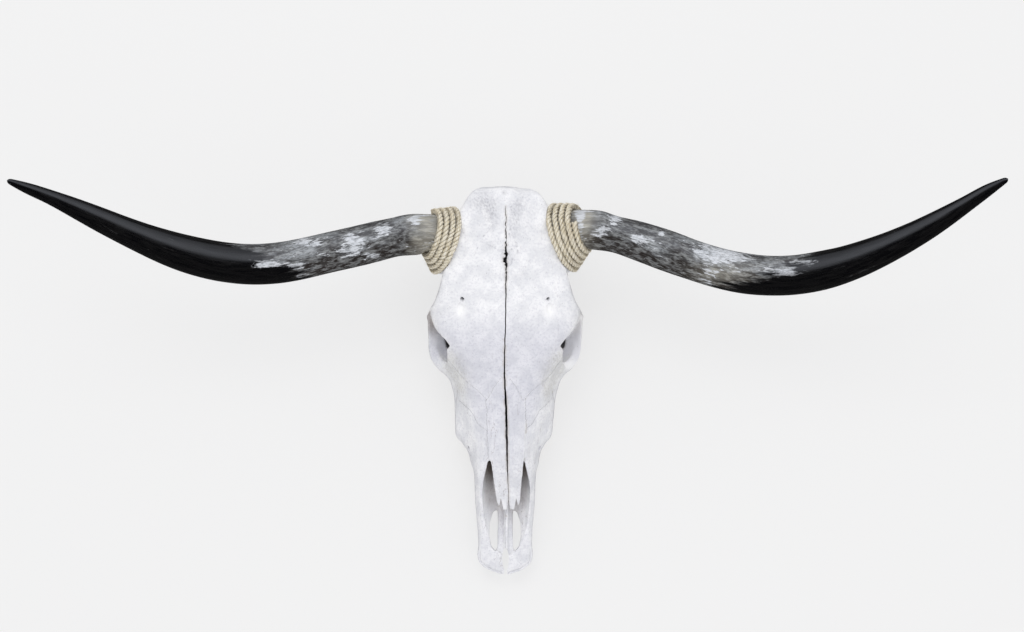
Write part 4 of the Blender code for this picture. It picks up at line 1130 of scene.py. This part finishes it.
# ======== Horns
# Each horn is a hollow sheath of keratin over a core of bone, sawn, sanded and polished: mottled grey and
# white near the skull, black to the tip, in one S curve that starts under the rope, with lengthwise grain.
# Each row along a horn is (across, ahead, height, radius).
HORN_KNOTS = {
    1: ((113, 57.6, -24.5, 26), (137, 62, -24, 24.6), (184, 75.2, -23, 26.3), (247, 97.7, -20, 26.7),
        (310, 114.9, -14, 26.8), (372, 118.8, -4, 26.2), (433.5, 108, 12, 24.9), (493, 85.5, 32, 20.4),
        (552, 54.5, 54, 15.2), (609, 17.5, 78, 8.8), (636, 0.4, 91, 4.6), (642, -2.8, 94, 3.0)),
    -1: ((114, 63.4, -24.5, 26.8), (137, 66.1, -24, 26), (171, 73.7, -23, 26.5), (234, 88.5, -20, 26.8),
         (297, 101.8, -14, 27), (359, 102.5, -4, 26.4), (420, 90, 12, 24.5), (480, 67.5, 32, 19.4),
         (538.5, 40.5, 54, 14.4), (596, 14.5, 78, 8.4), (628, 2.1, 91, 4.6), (635, -0.8, 94, 3.0))}
HORN_SIDES = 96
HORN_STATIONS = 22
HORN_RINGS = 460
TIP_ROUND = 4.5


def spring_through(knots, count):
    """Points on the smoothest curve through rows of knots, as a thin bent strip would run through them."""
    knots = np.array(knots, float)
    gap = np.linalg.norm(np.diff(knots[:, :3], axis=0), axis=1)
    along = np.concatenate([[0], np.cumsum(gap)])
    size = len(knots)
    grid = np.eye(size)
    pull = np.zeros_like(knots)
    for i in range(1, size - 1):
        grid[i, i - 1:i + 2] = gap[i - 1], 2 * (gap[i - 1] + gap[i]), gap[i]
        pull[i] = 6 * ((knots[i + 1] - knots[i]) / gap[i] - (knots[i] - knots[i - 1]) / gap[i - 1])
    bend = np.linalg.solve(grid, pull)
    at = np.linspace(0, along[-1], count)
    i = np.clip(np.searchsorted(along, at, side="right") - 1, 0, size - 2)
    h, a, b = gap[i, None], (along[i + 1] - at)[:, None], (at - along[i])[:, None]
    return (bend[i] * a ** 3 + bend[i + 1] * b ** 3) / (6 * h) + (knots[i] / h - bend[i] * h / 6) * a + (
        knots[i + 1] / h - bend[i + 1] * h / 6) * b


def run_along(points):
    """How far each point of a path is from its first one, along the path."""
    return np.concatenate([[0], np.cumsum(np.linalg.norm(np.diff(points, axis=0), axis=1))])


def horn_rings(side):
    """Rings of the sheath from under the rope to the tip, their middles, and how far along each one is."""
    rows = []
    noseward = binding_ring(side, 1)[3]
    for share in (CORE_SHARE + 0.02, 0.78):
        ring = binding_circle(side, share, HORN_SIDES)
        rows.append(np.concatenate([ring.mean(0), ring.ravel()]))
    across, ahead, height, radius = spring_through(HORN_KNOTS[side], HORN_STATIONS).T
    path = np.stack([side * across, -ahead, height], 1)
    turn = full_turn(HORN_SIDES)[:, None]
    for middle, way, r in zip(path, unit(np.gradient(path, axis=0)), radius):
        nose = noseward - way * np.dot(noseward, way)
        nose /= np.linalg.norm(nose)
        face = np.cross(nose, way) * side
        face *= np.sign(face[2])
        ring = middle + r * (np.cos(turn) * face + np.sin(turn) * nose)
        rows.append(np.concatenate([middle, ring.ravel()]))
    fine = spring_through(rows, HORN_RINGS)
    middles = fine[:, :3]
    return middles, fine[:, 3:].reshape(HORN_RINGS, HORN_SIDES, 3), run_along(middles)


def store_vectors(mesh, name, rows):
    """Stores a place in mm at each vertex, for the material to read in metres."""
    mesh.attributes.new(name, "FLOAT_VECTOR", "POINT").data.foreach_set(
        "vector", (rows * MM).astype(np.float32).ravel())


keratin, tree, shader = new_material("polished_horn", {"Roughness": 0.3, "Coat Weight": 0.3,
                                                       "Coat Roughness": 0.18})
grain = put(tree, "Attribute", attribute_name="horn_grain").outputs["Vector"]
drawn, loose = drawn_out(tree, grain, (0.1, 1, 1)), drawn_out(tree, grain, (0.32, 1, 1))
black_share, marble_share, tan_share, nose_side = channels(tree, "tone")
fibres = blotches(tree, drawn, 330, 0.36, 0.66)
flecks = blotches(tree, loose, 230, 0.42, 0.64)
specks = blotches(tree, loose, 620, 0.46, 0.62)
dots = use(tree, pores, "Mask", Vector=loose, Scale=420, Share=0.5)
ragged = billows(tree, drawn, 260)
brown = stretch(tree, scaled(tree, nose_side, 0.34, billows(tree, loose, 75)), 0.54, 0.74)
black_starts = reckon(tree, "SUBTRACT", black_share, 1.1)
black = stretch(tree, scaled(tree, billows(tree, drawn, 110), 2.2, black_starts), 0.3, 0.7)
pale = scaled(tree, marble_share, 0.25, times(tree, billows(tree, loose, 58), 0.6))
pale = scaled(tree, ragged, 0.34, scaled(tree, billows(tree, loose, 360), 0.55, pale))
not_black = reckon(tree, "MAXIMUM", marble_share, reckon(tree, "SUBTRACT", 1.0, black))
marbled = times(tree, stretch(tree, pale, 0.845, 0.925), not_black)
colour = tinted(
    tree, rgb(76, 76, 78),
    (blotches(tree, loose, 62, 0.4, 0.6), rgb(152, 156, 160)),
    (brown, rgb(46, 40, 37)),
    (times(tree, fibres, 0.35), rgb(44, 42, 42)),
    (times(tree, flecks, 0.5), rgb(168, 171, 172)),
    (times(tree, specks, 0.6), rgb(44, 40, 38)),
    (times(tree, tan_share, scaled(tree, flecks, 0.4, 0.45)), rgb(172, 168, 156)),
    (black, tinted(tree, rgb(4, 4, 6), (fibres, rgb(15, 14, 15)))),
    (times(tree, dots, scaled(tree, black, -0.5, 0.5)), rgb(186, 188, 190)),
    (times(tree, marbled, scaled(tree, specks, -0.45, 0.95)),
     tinted(tree, rgb(186, 192, 200), (ragged, rgb(230, 232, 236)))))
tree.links.new(colour, shader.inputs["Base Color"])
tree.links.new(scaled(tree, fibres, 0.14, 0.2), shader.inputs["Roughness"])
tree.links.new(scaled(tree, ragged, 0.5, 0.05), shader.inputs["Coat Weight"])
bumped(tree, shader, (billows(tree, drawn, 420), 0.3, 0.3), (billows(tree, drawn, 90), 0.4, 0.9))

# The black comes in between two distances across, sooner on the nose side by up to the third number.
HORN_BLACK = {1: (290, 382, 62), -1: (260, 342, 46)}
# Pale marble marks: (strength, across, ahead, reach across, reach ahead).
HORN_MARBLE = {
    1: ((1, 129, 60, 12, 7), (1, 145, 45, 9, 8), (1, 175, 70, 13, 7), (0.9, 206, 63, 7, 5),
        (1, 256, 88, 13, 8), (1.1, 288, 92, 22, 9), (0.7, 323, 97, 18, 6), (0.9, 366, 114, 20, 5.5),
        (1.2, 99, 43, 6, 17), (0.6, 395, 100, 26, 5), (0.45, 276, 112, 30, 12)),
    -1: ((1, 162, 59, 15, 10), (1, 201, 70, 17, 8), (1.1, 256, 77, 18, 5), (0.9, 239, 92, 12, 7),
         (0.7, 175, 92, 15, 6), (0.6, 280, 105, 30, 6), (1, 318, 106, 20, 6), (1, 119, 49, 8, 8),
         (0.5, 205, 88, 20, 8))}
# Tan stains of the right-hand horn, written like the marks, and how tan each horn is beside the rope.
HORN_STAINS = ((0.7, 285, 116, 34, 14), (1.4, 103, 42, 10, 22))
HORN_BASE_TAN = {1: 0.35, -1: 1}
for side, hand in HANDS:
    middles, rings, run = horn_rings(side)
    from_tip = np.clip((run[-1] - run) / TIP_ROUND, 0, 1)
    spokes = (rings - middles[:, None]) * np.sqrt(np.maximum(1 - (1 - from_tip) ** 2, 0.01))[:, None, None]
    reach = np.linalg.norm(spokes, axis=2, keepdims=True)
    turn = full_turn(HORN_SIDES)
    around = np.stack([np.broadcast_to(run[:, None], reach.shape[:2]), reach[:, :, 0] * np.cos(turn),
                       reach[:, :, 0] * np.sin(turn)], 2).reshape(-1, 3)
    waves = 0.35 * cloud(around * (1, 0.35, 0.35), 34, 51 + side)
    wrinkles = 0.1 * cloud(around * (1, 0.12, 0.12), 5, 53 + side) * ease(260, 90, around[:, 0])
    swell = (waves + wrinkles).reshape(reach.shape) * np.clip(reach / 20, 0, 1)
    sheath = loft("horn_" + hand, middles[:, None] + spokes * (1 + swell / np.maximum(reach, 1)))
    store_vectors(sheath.data, "horn_grain", around)
    at = skin(sheath.data)
    across = np.abs(at[:, 0])
    noseward = np.tile(np.sin(turn), len(run))
    starts, full, sooner = HORN_BLACK[side]
    tan = HORN_BASE_TAN[side] * ease(136, 104, across + 6 * cloud(at, 11, 57)) + spots(at, HORN_STAINS)
    paint(sheath.data, "tone", ease(starts, full, across + sooner * noseward),
          spots(at, HORN_MARBLE[side], side), tan, ease(-0.5, 0.9, noseward))
    dress(sheath, keratin)
    lay_down(sheath, "horn", "horn_" + hand)

# ======== Rope
# Sisal rope of three strands, laid up right-handed, is wound tightly round each horn base from the skull
# outward to hide the joint.  It is hairy, and one cut end lies on the face side of the right-hand horn.
STEPS_A_TURN = 250
LAY = 18.5
ROPE_REACH = 3.9
STRANDS = 3
STRAND_RADIUS = 2.05
STRAND_OFF = 2.0
STRAND_SIDES = 16
HAIRS = 900
HAIR_RADIUS = 0.18
HAIR_POINTS = 6
HAIR_SIDES = 3


def square_to(rows, way):
    """Unit vectors: what is left of the rows when their share along a path is taken out."""
    return unit(rows - way * np.sum(rows * way, 1, keepdims=True))


def tube(bm, path, radii, first, sides):
    """Adds a closed tube along a path in mm, with corners from the directions `first` on; gives its rings."""
    way = unit(np.gradient(path, axis=0))
    nearby = square_to(first, way)
    beside = np.cross(way, nearby)
    turn = full_turn(sides)[None, :, None]
    rings = path[:, None] + radii[..., None] * (
        np.cos(turn) * nearby[:, None] + np.sin(turn) * beside[:, None])
    wrap(bm, rings)
    return rings


sisal, tree, shader = new_material("sisal_rope", {"Roughness": 0.85, "Specular IOR Level": 0.2})
fibre = put(tree, "Attribute", attribute_name="fibre").outputs["Vector"]
groove_dirt_and_shade, stain_and_shade, hair, _ = channels(tree, "twist")
colour = tinted(
    tree, rgb(222, 212, 184),
    (blotches(tree, fibre, 900, 0.35, 0.65), rgb(255, 253, 242)),
    (times(tree, blotches(tree, fibre, 300, 0.5, 0.7), 0.6), rgb(182, 170, 136)),
    # painted shade and dirt in the grooves and between the turns
    (times(tree, groove_dirt_and_shade, 0.97), rgb(28, 22, 12)),
    (times(tree, hair, 0.7), rgb(236, 229, 208)),
    # painted shade towards the nose side, with stains
    (times(tree, stain_and_shade, 0.36), rgb(142, 118, 84)))
tree.links.new(colour, shader.inputs["Base Color"])
bumped(tree, shader, (billows(tree, fibre, 700), 0.9, 0.6), (billows(tree, fibre, 1500), 0.6, 0.3))
for side, hand in HANDS:
    steps = round(ROPE_TURNS[side] * STEPS_A_TURN)
    windings = [on_binding(side, turn)
                for turn in np.linspace(ROPE_TURNS[side], 0, steps) + ROPE_STARTS[side]]
    core, radial = (np.array(rows) for rows in zip(*windings))
    core += 0.55 * np.stack([cloud(core, 9, 71 + i) for i in range(3)], 1)
    way = unit(np.gradient(core, axis=0))
    radial = square_to(radial, way)
    beside = np.cross(way, radial)
    run = run_along(core)
    bm = bmesh.new()
    vectors, twists = [], []
    for strand in range(STRANDS):
        lay = 2 * math.pi * (run / LAY + strand / STRANDS) + 0.5 * cloud(on_line(run), 16, 65 + side)
        off = np.cos(lay)[:, None] * radial + np.sin(lay)[:, None] * beside
        lumps = cloud(np.stack([run, np.full(steps, strand * 40.0), np.zeros(steps)], 1), 7, 61 + side)
        yarn = 0.05 * np.cos(5 * full_turn(STRAND_SIDES)[None] + run[:, None] * 0.9)
        radii = STRAND_RADIUS * (1 + 0.15 * lumps[:, None] + yarn)
        rings = tube(bm, core + off * STRAND_OFF, radii, off, STRAND_SIDES)
        out = rings - core[:, None]
        u, w = np.sum(out * radial[:, None], 2), np.sum(out * beside[:, None], 2)
        vectors.append(np.stack([np.broadcast_to(run[:, None] * 0.1, u.shape), u, w], 2).reshape(-1, 3))
        # Painted shade and dirt where strands meet and between the turns; painted shade towards the nose side
        # of the binding, with random stains.
        places, far = rings.reshape(-1, 3), np.hypot(u, w)
        between = ease(0.6, 0.9, np.abs(w) / ROPE_REACH) * ease(3.2, 1.6, u)
        between *= 0.45 + 0.55 * ease(4.0, 3.4, far)
        uneven = ease(-0.4, 0.3, cloud(places, 3.6, 67)).reshape(far.shape)
        gap_dirt_and_shade = np.maximum(0.7 * ease(3.5, 2.3, far), between * (0.55 + 0.45 * uneven))
        # Painted shade towards the nose side of the binding, with random stains over it.
        noseward_shade = ease(20, 70, -rings[:, :, 1] - core[:, 1].max() + 110)
        stains_and_noseward_shade = 0.7 * noseward_shade + 0.3 * ease(0.3, 0.9, cloud(places, 13, 69)).reshape(far.shape)
        twists.append(np.stack([gap_dirt_and_shade.ravel(), stains_and_noseward_shade.ravel(), np.zeros(far.size)], 1))
    seed = np.random.default_rng(7 + side)
    for _ in range(HAIRS):
        i = int(seed.integers(6, steps - 6))
        spin = seed.uniform(0, 2 * math.pi)
        leave = math.cos(spin) * radial[i] + math.sin(spin) * beside[i]
        if leave @ radial[i] < -0.2:
            continue
        root = core[i] + leave * (STRAND_OFF + STRAND_RADIUS * 0.7)
        forward = way[i] * seed.choice((-1, 1)) * seed.uniform(0.6, 1.6)
        reach = seed.uniform(3, 9)
        bend = seed.normal(0, 0.35, 3)
        t = np.linspace(0, 1, HAIR_POINTS)[:, None]
        forward += leave * seed.uniform(0.15, 0.7)
        path = root + forward * reach * t / 1.4 + bend * reach * t * t * 0.6
        tube(bm, path, HAIR_RADIUS * (1.1 - 0.8 * t), np.tile(leave, (HAIR_POINTS, 1)), HAIR_SIDES)
        at = run[i] * 0.1, seed.uniform(-3, 3), seed.uniform(-3, 3)
        vectors.append(np.tile(at, (HAIR_POINTS * HAIR_SIDES, 1)))
        twists.append(np.tile((0.0, 0.0, 1.0), (HAIR_POINTS * HAIR_SIDES, 1)))
    binding = add_mesh("rope_" + hand, bm)
    store_vectors(binding.data, "fibre", np.concatenate(vectors))
    paint(binding.data, "twist", *np.concatenate(twists).T)
    dress(binding, sisal)
    lay_down(binding, "rope", "rope_" + hand)

# ======== The table, the light and the camera
# The skull lies on a plain pale surface in soft studio light from above the poll, and the camera looks
# straight down on the face.  What the camera sees of the surface is bright; what lights the bone is dimmer.
PAPER = rgb(239, 239, 239)
PAPER_REACH = 25
CAMERA_AT = (9.2, -172.2, 3178)
bm = bmesh.new()
bmesh.ops.create_grid(bm, x_segments=1, y_segments=1, size=PAPER_REACH)
paper = add_mesh("paper", bm)
bench.objects.unlink(paper)
bpy.context.scene.collection.objects.link(paper)
pale, tree, shader = new_material("pale_paper", {"Roughness": 0.9, "Specular IOR Level": 0.1,
                                                 "Base Color": (0.8, 0.8, 0.8, 1)})
fibre = blotches(tree, put(tree, "TexCoord").outputs["Object"], 400)
tree.links.new(scaled(tree, fibre, 0.1, 0.85), shader.inputs["Roughness"])
surface = shader.outputs[0]
bright, dim = (put(tree, "Emission", {"Color": PAPER, "Strength": power}).outputs[0]
               for power in (1.045, 0.05))
ray = put(tree, "LightPath").outputs
plain = put(tree, "MixShader", {0: 0.72, 1: surface, 2: bright}).outputs[0]
mirrored = put(tree, "MixShader", {0: ray["Is Glossy Ray"], 1: surface, 2: dim}).outputs[0]
seen = put(tree, "MixShader", {0: ray["Is Camera Ray"], 1: mirrored, 2: plain})
tree.links.new(seen.outputs[0], tree.nodes["Material Output"].inputs["Surface"])
paper.data.materials.append(pale)

world = bpy.data.worlds.new("studio")
world.use_nodes = True
bpy.context.scene.world = world
tree = world.node_tree
sky = tree.nodes["Background"]
direction = put(tree, "SeparateXYZ", {0: put(tree, "TexCoord").outputs["Generated"]}).outputs
wall = times(tree, stretch(tree, direction[1], -0.1, 0.3, 0.015, 1.35),
             stretch(tree, direction[1], 1.0, 0.45, 0.4, 1.0))
mirrored = put(tree, "LightPath").outputs["Is Glossy Ray"]
tree.links.new(put(tree, "Mix", {0: mirrored, 2: 0.9, 3: wall}).outputs[0], sky.inputs["Strength"])
tree.links.new(tinted(tree, (0.985, 0.985, 1.0, 1), (mirrored, (0.86, 0.9, 1.0, 1))), sky.inputs["Color"])


def soft_box(name, at, size, power, colour):
    """A square lamp at a place of the face frame in metres, turned to the forehead."""
    lamp = bpy.data.lights.new(name, "AREA")
    lamp.size = size
    lamp.energy = power
    lamp.color = colour
    obj = bpy.data.objects.new(name, lamp)
    bpy.context.scene.collection.objects.link(obj)
    aim = LIE @ place(1, 0, 180, -20)
    obj.location = LIE @ Vector(at)
    obj.rotation_euler = (aim - obj.location).to_track_quat("-Z", "Y").to_euler()
    obj.visible_glossy = False


soft_box("key", (-0.4, 1.6, 2.4), 1.6, 18, (1.0, 0.995, 0.98))
soft_box("fill", (0.9, -1.4, 2.4), 2.0, 7, (0.97, 0.98, 1.0))

bpy.context.scene.view_settings.view_transform = "Standard"
camera = bpy.data.objects.new("camera", bpy.data.cameras.new("camera"))
bpy.context.scene.collection.objects.link(camera)
camera.data.lens = 85
camera.data.sensor_width = 36
camera.data.clip_end = 100
camera.matrix_world = LIE @ Matrix.Translation(Vector(CAMERA_AT) * MM)
bpy.context.scene.camera = camera

bpy.data.collections.remove(bench)
